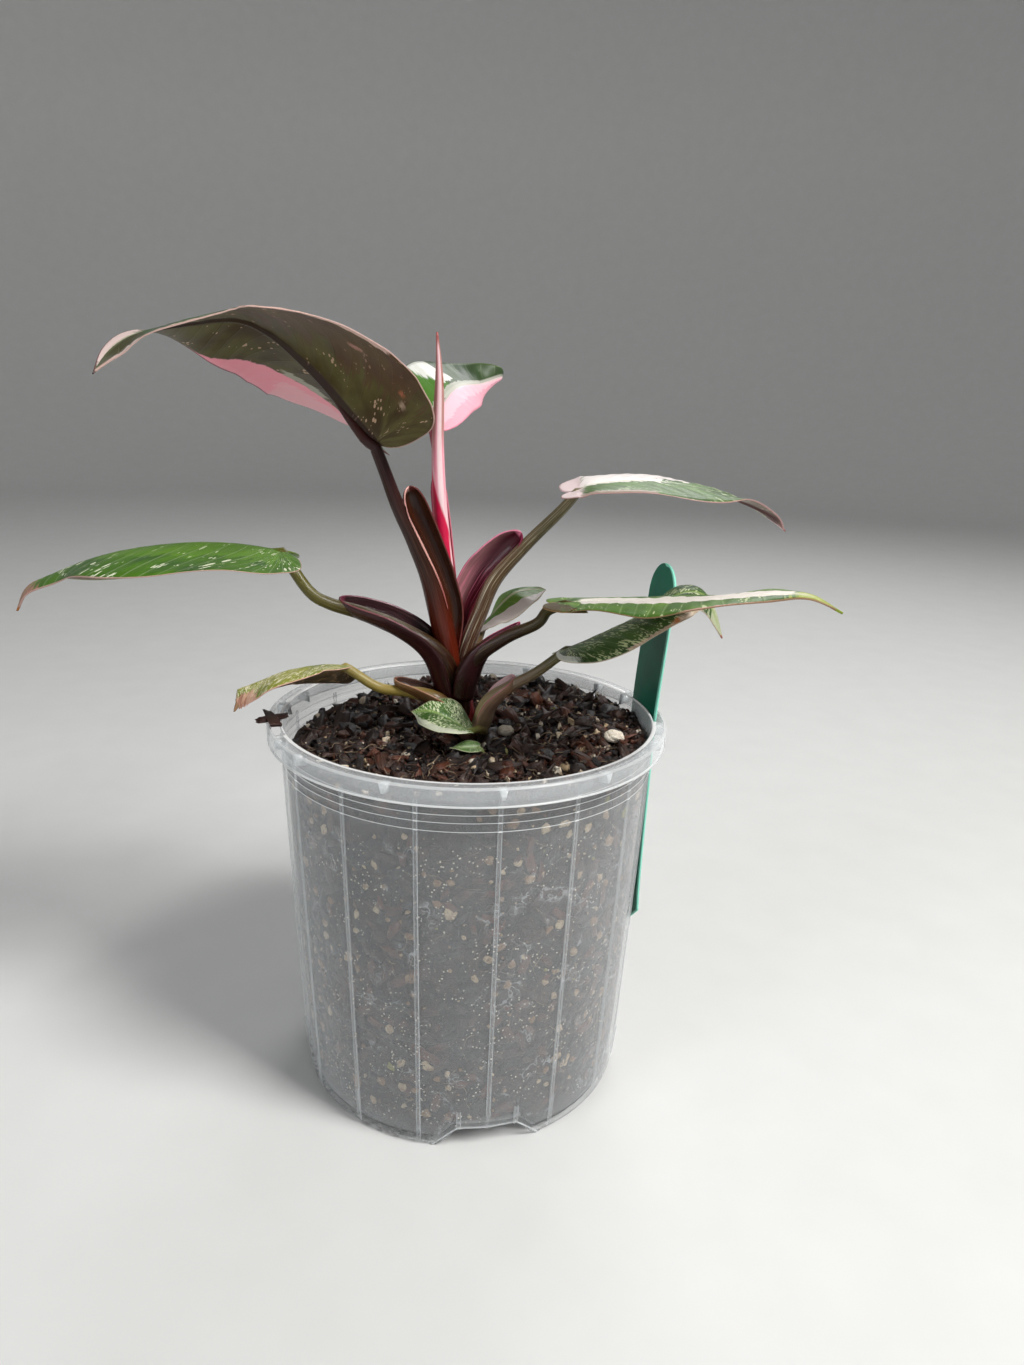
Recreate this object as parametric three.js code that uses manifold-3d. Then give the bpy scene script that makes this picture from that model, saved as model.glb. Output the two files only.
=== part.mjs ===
// A young pink princess philodendron in a clear nursery pot.
// Millimetres, +Z up. The origin is the middle of the pot's underside, on the surface it stands on.
// Angles round the pot are compass-like: 0 looks to -Y (the front), 90 to +X, both in degrees.

import * as THREE from 'three';
import Module from 'manifold-3d';
import { mergeVertices } from 'three/addons/utils/BufferGeometryUtils.js';

const wasm = await Module();
wasm.setup();

// ---------------------------------------------------------------- driving dimensions

const GAP = 0.35; // clearance between pieces that touch
const RAD = Math.PI / 180;

const POT = {
  rimRadius: 60, // outside of the hanging skirt
  height: 116.5,
  lipRadius: 55.9, // where the flat ledge meets the inner wall
  ledgeThickness: 1.2,
  skirtBottom: 111.1,
  skirtThickness: 0.8,
  flareFrom: 112, // above this the wall leans out to meet the ledge
  edgeBevel: 0.6,
  topRadius: 55.6, // outside of the body under the ledge
  footRadius: 50.5,
  footChamfer: 0.8,
  bulge: 0.5, // outward swell of the wall at bulgeHeight
  bulgeHeight: 70,
  wall: 0.9,
  floor: 1.2,
  segments: 48,
};

const RIB = { count: 16, firstAngle: 9, width: 1.3, rise: 0.45, from: 0.6, footRise: 0.9, footHeight: 13 };

const WEB = { pitch: 30, firstAngle: 9, thickness: 1, bottom: 112, slope: 0.8, sink: 0.25 };

const SLOT = { angles: [99, -81], halfAngle: 15.5, inner: 56.1, outer: 59.2, depth: 7, shoulder: 0.6 };

const DRAIN = {
  angles: [9, 129, -111],
  halfWidthBottom: 15.6,
  halfWidthTop: 8.6,
  height: 6.7,
  innerRadius: 20,
  cover: 1,
};

const SOIL = {
  level: 109.5,
  leftDip: 4.5, // at the wall: the surface falls away on the left
  rightRise: 1.5, // and swells a little on the right
  backRise: 2, // and at the back
  roughness: 0.8,
  rings: 6,
  sectors: 32,
  chips: 40,
  chipsFrom: 8, // the chips lie between these two distances from the middle
  chipsTo: 52,
  chipLift: 0.5,
  chipLean: 0.45,
  chipLength: [4, 10],
  chipWidth: [2.2, 5],
  chipThickness: [1.4, 2.6],
  seed: 41,
};

const PERLITE = [
  { name: 'perlite_lump_right', at: [43.5, -11, 113.2], size: [3, 2.3, 1.9], seed: 11 },
  { name: 'perlite_lump_middle', at: [11.4, -3, 111.5], size: [2.5, 2, 1.7], seed: 12 },
];

const CROWN = {
  path: [[-1.6, 1.4, 92], [-1.6, 1.4, 104], [-1.8, 1.5, 114], [-2.7, 1.8, 123]],
  radii: [3, 4.2, 4.6, 2.8],
  sides: 10,
};

const LABEL = {
  path: [[55.6, 10.2, 40], [55, 10.2, 58], [55.6, 10.1, 97], [56.1, 10, 117], [57.7, 9.6, 140],
    [59.5, 9.2, 162]],
  across: [-0.187, 0.982, 0],
  width: 20,
  pointLength: 9,
  thickness: 0.8,
  bluntness: 0.8, // half the width left at the pointed foot and at the very top
  steps: 6, // along the straight and again round the top
};

const RIM_CHIP = { at: [-56.9, -13], lift: 0.3, arms: [[11, 3.2, 1.5, 35], [15, 4.2, 1.5, 110]] };

// ---------------------------------------------------------------- leaves
//
// Each leaf is a stalk, a boat-shaped sheath along the foot of the stalk, and a heart-shaped blade.
// stalk and sheath: points from the crown outwards, with the radius (or half width) at even steps.
// opens: where the hollow side of the sheath looks.
// blade.midrib: points from the stalk to the tip.   across: where the right half of the blade lies.
// roll turns the whole blade about its midrib, in degrees. fold lifts the two halves out of flat (+ is
// upwards) and curl bends them further, in degrees per 10 mm; both are given for [right, left].

const LEAVES = [
  {
    name: 'leaf_old_left',
    stalk: [[-3.2, -2.2, 114.5], [-8.6, -5, 121.2], [-17.4, -6, 124.3], [-26.2, -7, 125.6],
      [-36.1, -7.8, 131.9]],
    stalkRadii: [2.4, 2.4, 1.7, 1.5, 1.4],
    sheath: [[-2.6, -2, 115.5], [-8.6, -5, 122.6], [-15.4, -6, 126.3], [-22, -6.4, 128.4]],
    sheathWidths: [3.6, 4, 3.2, 2.2],
    opens: [0.2, -0.1, 1],
    blade: {
      midrib: [[-36.1, -7.8, 132.5], [-42.6, -7.4, 132.4], [-52.9, -9.6, 131], [-60.5, -9.6, 127.9],
        [-69.6, -10.8, 124.1]],
      across: [0, 1, 0],
      width: [13.5, 13.5],
      roll: [-13, -8, 4],
      fold: [[-26, -16, -26, -38], [-3, -1, -12, -43]],
      curl: [[-13, -11, -11], [-8, -8, -11]],
      blunt: 0.42,
      notch: 0.08,
    },
    color: 0x6f7a36,
  },
  {
    name: 'leaf_low_right',
    stalk: [[2.8, -3, 112.5], [5.8, -8, 122.3], [12.2, -11, 128.2], [18.9, -13, 132.8],
      [27.6, -15.2, 140.4]],
    stalkRadii: [2.2, 2.2, 1.7, 1.5, 1.4],
    sheath: [[2.8, -3.4, 113.6], [5.8, -8, 123.6], [13, -11, 131]],
    sheathWidths: [3.4, 3.5, 2.8],
    opens: [-0.6, -0.2, 1],
    blade: {
      midrib: [[27.6, -15.2, 141], [33.8, -14.6, 143.5], [46.6, -14, 149.6], [55, -15.2, 155.7],
        [61.3, -15.5, 158.3], [66.5, -15.4, 156.2], [72.4, -13.3, 144.5]],
      across: [0, -1, 0],
      width: [17.5, 14],
      roll: [-3, -6, -5, -21, -42],
      fold: [[11, 7, -5, -16], [-19, -17, -9, 9]],
      curl: [[-17, -9, -1], [-3, -6, -4]],
    },
    color: 0x3f5a2c,
  },
  {
    name: 'leaf_right_front',
    stalk: [[-1.9, -0.7, 115.6], [-2.3, -2.4, 125.2], [1.6, -5.6, 135.1], [9.8, -9, 142],
      [18.9, -12.2, 147.3], [21.8, -13.8, 151.5], [26.1, -18.1, 154.3]],
    stalkRadii: [2.6, 3, 2.9, 2.3, 1.8, 1.6, 1.4],
    sheath: [[-3.1, -1, 122], [-2.1, -2, 128.4], [0.3, -3.4, 134.7], [4.3, -5, 139.8], [14.2, -8, 146.7]],
    sheathWidths: [4.2, 4.7, 4, 3, 1.8],
    opens: [-0.6, 0.1, 1],
    blade: {
      midrib: [[26.1, -18.1, 154.9], [34.7, -19.5, 155.9], [51.5, -34.9, 159.6], [61.6, -48, 163.4],
        [72.4, -58.1, 166.5], [78.4, -63.3, 167.2], [84.8, -67, 164.3]],
      across: [-0.6, -0.8, 0],
      width: [17, 14.5],
      roll: [5, 8, 2, -7],
      fold: [[-7, -4, -5, -1], [4, 4, 1, 6]],
      curl: [[0, -10, -10], [-3, 0, -1]],
    },
    color: 0x4c6b33,
  },
  {
    name: 'leaf_left',
    stalk: [[-3.8, 0.8, 116.6], [-7.6, -1.6, 132.8], [-19.1, -4, 142], [-30.4, -6, 147.4],
      [-40.4, -8, 150.9], [-46.1, -8.8, 154.8], [-53.5, -6.6, 164.9]],
    stalkRadii: [2.6, 3, 2.6, 2.1, 1.7, 1.6],
    sheath: [[-3.6, 0.8, 118], [-9, -2, 136.6], [-21, -4.4, 146.6], [-37.6, -6.4, 152.2]],
    sheathWidths: [4.6, 5.4, 5, 3.6],
    opens: [0.5, -0.2, 1],
    blade: {
      midrib: [[-53.5, -6.6, 165.5], [-65.7, -9, 167.5], [-78.8, -11, 167.7], [-93.8, -13, 165.7],
        [-107.8, -13.6, 161.4], [-119.8, -15.9, 155.4], [-124.8, -14.8, 148.1]],
      across: [0, 1, 0],
      width: [28, 28],
      roll: [-4, -5, -9, -6, 33],
      fold: [[-20, -18, -15, -12, 6], [-20, -18, -15, -12, -8]],
      curl: [[11, -3, -17], [11, -3, -17]],
    },
    color: 0x3f7030,
  },
  {
    name: 'leaf_upper_right',
    stalk: [[-2.2, 3.4, 124.2], [-1.7, 2.4, 133.6], [2.5, 3.4, 145.9], [7.1, 4, 156.7], [15.5, 4, 166.8],
      [25.5, 4, 177.2], [30.4, 5.4, 182.7]],
    stalkRadii: [1.9, 2.4, 2.4, 2.2, 1.9, 1.7, 1.5],
    sheath: [[-3.3, 4.6, 132.5], [-3.5, 6.2, 145.6], [1, 6, 156.4], [5, 5.6, 161.6], [9, 5, 165.9],
      [14.4, 4.4, 170.8]],
    sheathWidths: [2.6, 3.6, 4.2, 4.6, 4.2, 3],
    opens: [-0.5, -0.8, 0.2],
    blade: {
      midrib: [[30.4, 5.4, 183.3], [35.2, 5, 185.2], [48.4, 5, 186.8], [62.1, 5.9, 185.8], [78, 8.7, 182.3],
        [89.4, 7.8, 177.3], [95.2, 10.5, 172.6]],
      across: [0, -1, 0],
      width: [18, 19.5],
      roll: [-3, -1, 0, 4, 42],
      fold: [[7, -3, 1, 18], [13, 6, 5, -1]],
      curl: [[-4, -6, -4], [-13, -5, 1]],
    },
    color: 0x55703f,
  },
  {
    name: 'leaf_back',
    stalk: [[-1.2, 6.6, 124], [-6.3, 10.2, 145.1], [-7.7, 11, 157.9], [-9.1, 12, 172.9],
      [-10.1, 13.4, 187.5], [-12.6, 14.6, 201.7]],
    stalkRadii: [1.8, 1.7, 1.6, 1.6, 1.5, 1.4],
    sheath: [[-5.3, 9, 141.3], [-7.4, 9.6, 158.2], [-9.1, 10.2, 173.1], [-10.7, 11, 186.5]],
    sheathWidths: [2.2, 2.3, 2.3, 2],
    opens: [0.2, -1, 0.2],
    blade: {
      midrib: [[-12.6, 14.6, 202.3], [-6.2, 26.9, 211.1], [2.2, 46.6, 213.2], [8.6, 53.5, 215.4],
        [7.9, 60.5, 213.8]],
      across: [0.78, -0.25, -0.5],
      width: [9, 16.5],
      roll: [3, -12, -56],
      fold: [[2, -12, -20, -36], [4, -10, -17, 30]],
      curl: [[-7, -5, -1], [0, -4, -7]],
    },
    color: 0xc98a94,
  },
  {
    name: 'leaf_back_right',
    stalk: [[0.8, 5.2, 118], [-0.6, 8.5, 127], [1.4, 11.5, 132.4], [3.9, 20.2, 138.3]],
    stalkRadii: [1.7, 1.6, 1.5, 1.4],
    sheath: [[0.7, 4.9, 119], [-0.9, 8.2, 127.1], [0.7, 9.8, 130.6]],
    sheathWidths: [2.4, 2.2, 1.7],
    opens: [-1, -0.4, 0.3],
    blade: {
      midrib: [[3.9, 20.2, 138.9], [6.4, 21.1, 141.8], [13.5, 23.9, 148.5], [22.2, 32.7, 148.5],
        [25.2, 38.5, 147]],
      across: [0.8, -0.6, -0.1],
      width: [9, 6],
      roll: [38, 3, -16],
      fold: [[-2, -7, 0], [-36, -7, 17]],
      curl: [[-10, -6, -1], [-11, -6, -1]],
    },
    color: 0x5f8244,
  },
  {
    name: 'leaf_top_left',
    stalk: [[-4.2, 1.6, 125.6], [-7.5, 1, 139.8], [-11.8, 0, 157.2], [-16.1, -1, 167.4],
      [-20.8, -2.5, 177.4], [-24.4, -4, 187], [-27.3, -4.8, 194.8]],
    stalkRadii: [2.4, 3.2, 3.4, 2.9, 2.3, 1.9, 1.7],
    sheath: [[-5.1, 0.6, 134.6], [-4.4, 0.4, 146.9], [-7.1, 0, 157.4], [-11.3, -0.5, 167.5],
      [-15.7, -1.4, 177.4], [-18, -2.2, 183.8]],
    sheathWidths: [1.7, 2.1, 2.3, 2.7, 3.1, 3.2],
    opens: [0.3, -0.9, 0.1],
    blade: {
      midrib: [[-27.3, -4.8, 195.4], [-33.1, -5.9, 202.1], [-39.7, -8, 210.2], [-45.7, -10.2, 216.4],
        [-53.4, -11.6, 222.8], [-61.4, -13.1, 225.9], [-71.8, -16.2, 224.6], [-85, -18.5, 221.3],
        [-91.8, -19.7, 217], [-96.4, -20.5, 211]],
      across: [-0.2, 0.87, -0.45],
      width: [31, 35],
      roll: [-5, -3, 1, 8, 16, 45],
      fold: [[32, 11, -1, -10, -10, 15, 46], [39, 28, 13, -9, -15, -27, -50]],
      curl: [[-2, -1, 0, 0, 1], [-17, -11, -7, -2, 1]],
    },
    color: 0x4a4326,
  },
  {
    name: 'leaf_small_round',
    stalk: [[4.2, -5.4, 108], [4.4, -8.2, 113.6], [-0.5, -14, 114.9]],
    stalkRadii: [1.2, 1.1, 0.9],
    blade: {
      midrib: [[-0.5, -14, 115.2], [-5.6, -13.7, 118.6], [-11.3, -12.7, 120.5], [-16.9, -9.8, 119.3]],
      across: [0, 1, 0],
      width: [8.5, 12.5],
      roll: [8, 19, 35],
      fold: [[6, 14, 10, 8], [34, 20, 12, 2]],
      curl: [[-12, -9, -3], [-17, -9, -1]],
    },
    color: 0x4f7a38,
    rows: 10,
    columns: 2,
  },
  {
    name: 'leaf_smallest',
    stalk: [[5, -18.4, 106.6], [4.4, -18.7, 110.2], [3.2, -19, 111.6]],
    stalkRadii: [0.9, 0.9, 0.8],
    blade: {
      midrib: [[3.2, -19, 111.9], [-0.8, -20, 112.2], [-5.3, -21, 112.4]],
      across: [0, 1, 0],
      width: [2.6, 2.6],
      roll: [20, 20, 10],
      fold: [[10, 8, 0], [10, 8, 0]],
      curl: [[0, 0, 0], [0, 0, 0]],
    },
    color: 0x5e7d4a,
    rows: 8,
    columns: 1,
  },
];

// A new leaf still rolled up: a tapering spike.
const NEW_LEAF = {
  path: [[-2.7, 4.2, 125.8], [-5.2, 5.4, 144.7], [-6.8, 5.8, 155.2], [-9.3, 6.6, 175.7],
    [-10.3, 6.6, 193.5], [-10.1, 6.6, 212.2], [-10.9, 6.6, 225.6]],
  radii: [1.3, 1.9, 2.2, 2.4, 2.2, 1.9, 0.4],
  sides: 8,
  steps: 12,
};

// back and belly are shares of the blade's length: how far the lobes reach behind the stalk, and where
// the blade is widest. lobeShare and shoulderShare are the shares of its rows spent on those stretches.
const BLADE = {
  thickness: 0.8,
  rows: 15,
  columns: 3,
  back: 0.07,
  belly: 0.3,
  veinSlope: 0.6,
  lobeShare: 0.14,
  shoulderShare: 0.32,
};
const STALK = { sides: 7, steps: 8, side: [0.35, 1, 0.2] };
const SHEATH = {
  thickness: 1,
  halfAngle: 96,
  rows: 8,
  columns: 5,
  crowding: 0.75, // below 1 sets the rows closer towards the tip
  roundFrom: 0.86,
  roundness: 0.94,
};

// ---------------------------------------------------------------- solids

/** Signed volume of an indexed triangle mesh. */
function signedVolume(vertices, triangles) {
  let volume = 0;
  const corner = (k) => new THREE.Vector3().fromArray(vertices, 3 * k);
  for (let t = 0; t < triangles.length; t += 3) {
    const [a, b, c] = [corner(triangles[t]), corner(triangles[t + 1]), corner(triangles[t + 2])];
    volume += a.dot(b.cross(c)) / 6;
  }
  return volume;
}

/** Turns a closed geometry into a solid, whichever way round its faces were given. */
function solidOf(geometry) {
  const bare = geometry.clone();
  bare.deleteAttribute('normal');
  bare.deleteAttribute('uv');
  const merged = mergeVertices(bare, 1e-4);
  const vertices = new Float32Array(merged.attributes.position.array);
  const triangles = [];
  const index = merged.index.array;
  for (let t = 0; t < index.length; t += 3) {
    const [a, b, c] = [index[t], index[t + 1], index[t + 2]];
    if (a !== b && b !== c && c !== a) triangles.push(a, b, c);
  }
  if (signedVolume(vertices, triangles) < 0) triangles.reverse();
  return new wasm.Manifold(
    new wasm.Mesh({ numProp: 3, vertProperties: vertices, triVerts: new Uint32Array(triangles) }),
  );
}

/** The largest connected body of a solid; cuts can leave loose scraps behind. */
function largestBody(solid) {
  const bodies = solid.decompose();
  return bodies.reduce((best, body) => (body.volume() > best.volume() ? body : best));
}

function geometryOf(solid) {
  const mesh = solid.getMesh();
  const geometry = new THREE.BufferGeometry();
  geometry.setAttribute('position', new THREE.BufferAttribute(new Float32Array(mesh.vertProperties), 3));
  geometry.setIndex(new THREE.BufferAttribute(new Uint32Array(mesh.triVerts), 1));
  geometry.computeVertexNormals();
  return geometry;
}

function unite(solids) {
  return solids.reduce((whole, solid) => whole.add(solid));
}

function indexedGeometry(points, triangles) {
  const geometry = new THREE.BufferGeometry();
  geometry.setAttribute('position', new THREE.Float32BufferAttribute(points.flatMap((p) => p.toArray()), 3));
  geometry.setIndex(triangles.flat());
  return geometry;
}

/** Thickens an open sheet of triangles into a closed shell, split alike on both faces. */
function thicken(points, triangles, thickness) {
  const sheet = indexedGeometry(points, triangles);
  sheet.computeVertexNormals();
  const normals = sheet.attributes.normal;
  const normalAt = (k) => new THREE.Vector3().fromBufferAttribute(normals, k);
  const upper = points.map((p, k) => p.clone().addScaledVector(normalAt(k), thickness / 2));
  const lower = points.map((p, k) => p.clone().addScaledVector(normalAt(k), -thickness / 2));
  const count = points.length;
  const faces = [];
  const directed = new Set();
  for (const [a, b, c] of triangles) {
    faces.push([a, b, c], [c + count, b + count, a + count]);
    directed.add(`${a},${b}`).add(`${b},${c}`).add(`${c},${a}`);
  }
  for (const edge of directed) {
    const [a, b] = edge.split(',').map(Number);
    if (!directed.has(`${b},${a}`)) faces.push([b, a, a + count], [b, a + count, b + count]);
  }
  return solidOf(indexedGeometry([...upper, ...lower], faces));
}

// ---------------------------------------------------------------- paths and lofts

const vector = (xyz) => new THREE.Vector3(...xyz);

function pathThrough(points) {
  return new THREE.CatmullRomCurve3(points.map(vector), false, 'catmullrom', 0.5);
}

/** Reads a list of values given at even steps of 0..1, with straight lines between them. */
function along(values, t) {
  const place = THREE.MathUtils.clamp(t, 0, 1) * (values.length - 1);
  const step = Math.min(Math.floor(place), values.length - 2);
  return values.length === 1 ? values[0] : THREE.MathUtils.lerp(values[step], values[step + 1], place - step);
}

/** Tangent, side and normal at a place on a path, with the side kept near a wanted direction. */
function frameAt(path, t, wantedSide) {
  const tangent = path.getTangentAt(THREE.MathUtils.clamp(t, 0, 1));
  const side = wantedSide.clone().addScaledVector(tangent, -tangent.dot(wantedSide)).normalize();
  const normal = new THREE.Vector3().crossVectors(side, tangent);
  return { tangent, side, normal };
}

/** A round, tapering stalk along a path. grow makes it thicker and longer, for cutting a clearance. */
function loft(points, radii, sides, steps, grow = 0) {
  const path = pathThrough(points);
  const rings = [];
  const wanted = vector(STALK.side).normalize();
  for (let i = 0; i <= steps; i += 1) {
    const t = i / steps;
    const { tangent, side, normal } = frameAt(path, t, wanted);
    const centre = path.getPointAt(t);
    if (i === 0) centre.addScaledVector(tangent, -grow);
    if (i === steps) centre.addScaledVector(tangent, grow);
    const radius = along(radii, t) + grow;
    for (let s = 0; s < sides; s += 1) {
      const turn = (2 * Math.PI * s) / sides;
      const offset = side.clone().multiplyScalar(radius * Math.cos(turn));
      offset.addScaledVector(normal, radius * Math.sin(turn));
      rings.push(centre.clone().add(offset));
    }
  }
  const faces = [];
  for (let i = 0; i < steps; i += 1) {
    for (let s = 0; s < sides; s += 1) {
      const a = i * sides + s;
      const b = i * sides + ((s + 1) % sides);
      faces.push([a, b, b + sides], [a, b + sides, a + sides]);
    }
  }
  for (let s = 1; s < sides - 1; s += 1) {
    const last = steps * sides;
    faces.push([0, s + 1, s], [last, last + s, last + s + 1]);
  }
  return solidOf(indexedGeometry(rings, faces));
}

/** A boat-shaped sheath: a sheet bent round its spine, open on one side and rounded at its free tip. */
function sheathOf(leaf, grow = 0) {
  const path = pathThrough(leaf.sheath);
  const opens = vector(leaf.opens).normalize();
  const points = [];
  const rowStart = [];
  for (let i = 0; i <= SHEATH.rows; i += 1) {
    const t = (i / SHEATH.rows) ** SHEATH.crowding;
    const { tangent } = frameAt(path, t, opens);
    const up = opens.clone().addScaledVector(tangent, -tangent.dot(opens)).normalize();
    const side = new THREE.Vector3().crossVectors(tangent, up);
    const pastRound = Math.max(0, (t - SHEATH.roundFrom) / (1 - SHEATH.roundFrom));
    const tip = Math.sqrt(1 - SHEATH.roundness * pastRound ** 2);
    const radius = along(leaf.sheathWidths, t) * tip;
    const halfAngle = SHEATH.halfAngle * RAD + grow / radius;
    const lengthen = (i === SHEATH.rows) - (i === 0);
    const centre = path.getPointAt(t).addScaledVector(tangent, lengthen * grow);
    rowStart.push(points.length);
    for (let j = 0; j <= SHEATH.columns; j += 1) {
      const turn = halfAngle * ((2 * j) / SHEATH.columns - 1);
      const point = centre.clone().addScaledVector(side, radius * Math.sin(turn));
      points.push(point.addScaledVector(up, -radius * Math.cos(turn)));
    }
  }
  const faces = [];
  for (let i = 0; i < SHEATH.rows; i += 1) {
    for (let j = 0; j < SHEATH.columns; j += 1) {
      const a = rowStart[i] + j;
      const b = rowStart[i + 1] + j;
      faces.push([a, a + 1, b + 1], [a, b + 1, b]);
    }
  }
  return thicken(points, faces, SHEATH.thickness + 2 * grow);
}

// ---------------------------------------------------------------- blades

/** Half the outline of a heart-shaped blade, from the notch at the stalk round to the tip. */
function halfOutline(length, width, blade, rows) {
  const back = -BLADE.back * length;
  const belly = BLADE.belly * length;
  const blunt = (blade.blunt ?? 0) * width;
  const lobe = new THREE.CubicBezierCurve(
    new THREE.Vector2(0.3 * back, 0.04 * width),
    new THREE.Vector2(back, 0.12 * width),
    new THREE.Vector2(back, 0.3 * width),
    new THREE.Vector2(back, 0.42 * width),
  );
  const shoulder = new THREE.CubicBezierCurve(
    new THREE.Vector2(back, 0.42 * width),
    new THREE.Vector2(back, 0.8 * width),
    new THREE.Vector2(0.35 * belly, width),
    new THREE.Vector2(belly, width),
  );
  const flank = new THREE.CubicBezierCurve(
    new THREE.Vector2(belly, width),
    new THREE.Vector2(belly + 0.3 * length, width),
    new THREE.Vector2(0.72 * length, 0.24 * width + blunt),
    new THREE.Vector2(length, blunt),
  );
  const lobeRows = Math.max(2, Math.round(rows * BLADE.lobeShare));
  const shoulderRows = Math.max(3, Math.round(rows * BLADE.shoulderShare));
  const flankRows = rows - lobeRows - shoulderRows;
  return [
    ...lobe.getPoints(lobeRows),
    ...shoulder.getPoints(shoulderRows).slice(1),
    ...flank.getPoints(flankRows).slice(1),
  ];
}

/** The place in space of a point of the flat blade: u along the midrib, v out from it. */
function bladePoint(blade, path, length, u, v, side) {
  const reach = THREE.MathUtils.clamp(u / length, 0, 1);
  const half = side > 0 ? 0 : 1;
  const frame = frameAt(path, reach, vector(blade.across).normalize());
  const roll = along(blade.roll ?? [0], reach) * RAD;
  const out = frame.side.clone().multiplyScalar(Math.cos(roll)).addScaledVector(frame.normal, Math.sin(roll));
  const up = frame.normal.clone().multiplyScalar(Math.cos(roll)).addScaledVector(frame.side, -Math.sin(roll));
  const start = along(blade.fold[half], reach) * RAD;
  const bend = (along(blade.curl[half], reach) * RAD) / 10 + 1e-6;
  const spread = (Math.sin(start + bend * v) - Math.sin(start)) / bend;
  const lift = (Math.cos(start) - Math.cos(start + bend * v)) / bend;
  const point = path.getPointAt(reach).addScaledVector(frame.tangent, Math.min(u, 0));
  return point.addScaledVector(out, side * spread).addScaledVector(up, lift);
}

/** A blade as a thin closed shell; its triangles run along the side veins. */
function bladeSolid(leaf, grow = 0) {
  const { blade } = leaf;
  const rows = leaf.rows ?? BLADE.rows;
  const columns = leaf.columns ?? BLADE.columns;
  const path = pathThrough(blade.midrib);
  const length = path.getLength();
  const notch = (blade.notch ?? 0) * length;
  const points = [];
  const faces = [];
  const byPlace = new Map();
  const vertexAt = (u, v, side) => {
    const key = v < 1e-6 ? `${u.toFixed(4)}` : `${u.toFixed(4)},${v.toFixed(4)},${side}`;
    if (!byPlace.has(key)) {
      byPlace.set(key, points.length);
      points.push(bladePoint(blade, path, length, u, v, side));
    }
    return byPlace.get(key);
  };
  const meanWidth = (blade.width[0] + blade.width[1]) / 2;
  const roots = halfOutline(length, meanWidth, blade, rows).map((edge, i) => {
    const root = Math.max(0, edge.x - BLADE.veinSlope * edge.y);
    return i === rows ? length - notch : Math.min(root, length - notch);
  });
  for (const side of [1, -1]) {
    const outline = halfOutline(length, blade.width[side > 0 ? 0 : 1], blade, rows);
    const grid = outline.map((edge, i) => {
      const row = [];
      for (let j = 0; j <= columns; j += 1) {
        const out = j / columns;
        row.push(vertexAt(THREE.MathUtils.lerp(roots[i], edge.x, out), edge.y * out, side));
      }
      return row;
    });
    for (let i = 0; i < rows; i += 1) {
      for (let j = 0; j < columns; j += 1) {
        const [a, b, c, d] = [grid[i][j], grid[i][j + 1], grid[i + 1][j + 1], grid[i + 1][j]];
        const corners = side > 0 ? [[a, b, c], [a, c, d]] : [[a, c, b], [a, d, c]];
        for (const face of corners) if (new Set(face).size === 3) faces.push(face);
      }
    }
  }
  return thicken(points, faces, BLADE.thickness + 2 * grow);
}

/** Stalk and sheath of a leaf; grow makes them fatter, for cutting a clearance. */
function footOf(leaf, grow = 0) {
  const stalk = loft(leaf.stalk, leaf.stalkRadii, STALK.sides, STALK.steps, grow);
  return leaf.sheath ? stalk.add(sheathOf(leaf, grow)) : stalk;
}

// ---------------------------------------------------------------- pot

/** Outer radius of the pot's body at a height. */
function bodyRadius(z) {
  const share = z / POT.skirtBottom;
  const straight = THREE.MathUtils.lerp(POT.footRadius, POT.topRadius, share);
  const swell = 1 - ((z - POT.bulgeHeight) / POT.bulgeHeight) ** 2;
  return straight + POT.bulge * Math.max(0, swell);
}

/** Turns a profile of [radius, height] points round the pot's axis. */
function turned(profile, segments = POT.segments) {
  const points = profile.map(([radius, height]) => new THREE.Vector2(radius, height));
  return solidOf(new THREE.LatheGeometry(points, segments).rotateX(Math.PI / 2));
}

/** A slab cut to a [radius, height] outline and set on its edge at an angle round the pot. */
function radialSlab(outline, thickness, angle) {
  const shape = new THREE.Shape(outline.map(([radius, height]) => new THREE.Vector2(radius, height)));
  const slab = new THREE.ExtrudeGeometry(shape, { depth: thickness, bevelEnabled: false });
  slab.translate(0, 0, -thickness / 2).rotateX(Math.PI / 2).rotateZ((angle - 90) * RAD);
  return solidOf(slab);
}

/** A block that runs radially, with a trapezoid section: the drain channels under the floor. */
function drainBlock(angle, grow, fromRadius, toRadius) {
  const { halfWidthBottom: bottom, halfWidthTop: top, height } = DRAIN;
  const shape = new THREE.Shape([
    new THREE.Vector2(-bottom - grow, -1),
    new THREE.Vector2(bottom + grow, -1),
    new THREE.Vector2(bottom + grow, 0),
    new THREE.Vector2(top + grow, height + grow),
    new THREE.Vector2(-top - grow, height + grow),
    new THREE.Vector2(-bottom - grow, 0),
  ]);
  const block = new THREE.ExtrudeGeometry(shape, { depth: toRadius - fromRadius, bevelEnabled: false });
  block.rotateX(Math.PI / 2).translate(0, -fromRadius, 0).rotateZ(angle * RAD);
  return solidOf(block);
}

/** The space inside the pot's wall and floor, drawn in by inset on every side. */
function insideOfPot(inset, top) {
  const floor = POT.floor + inset;
  const wallAt = (z) => bodyRadius(z) - POT.wall - inset;
  const heights = [floor, POT.bulgeHeight / 2, POT.bulgeHeight, top];
  return turned([[0, floor], ...heights.map((z) => [wallAt(z), z]), [0, top]]);
}

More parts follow.
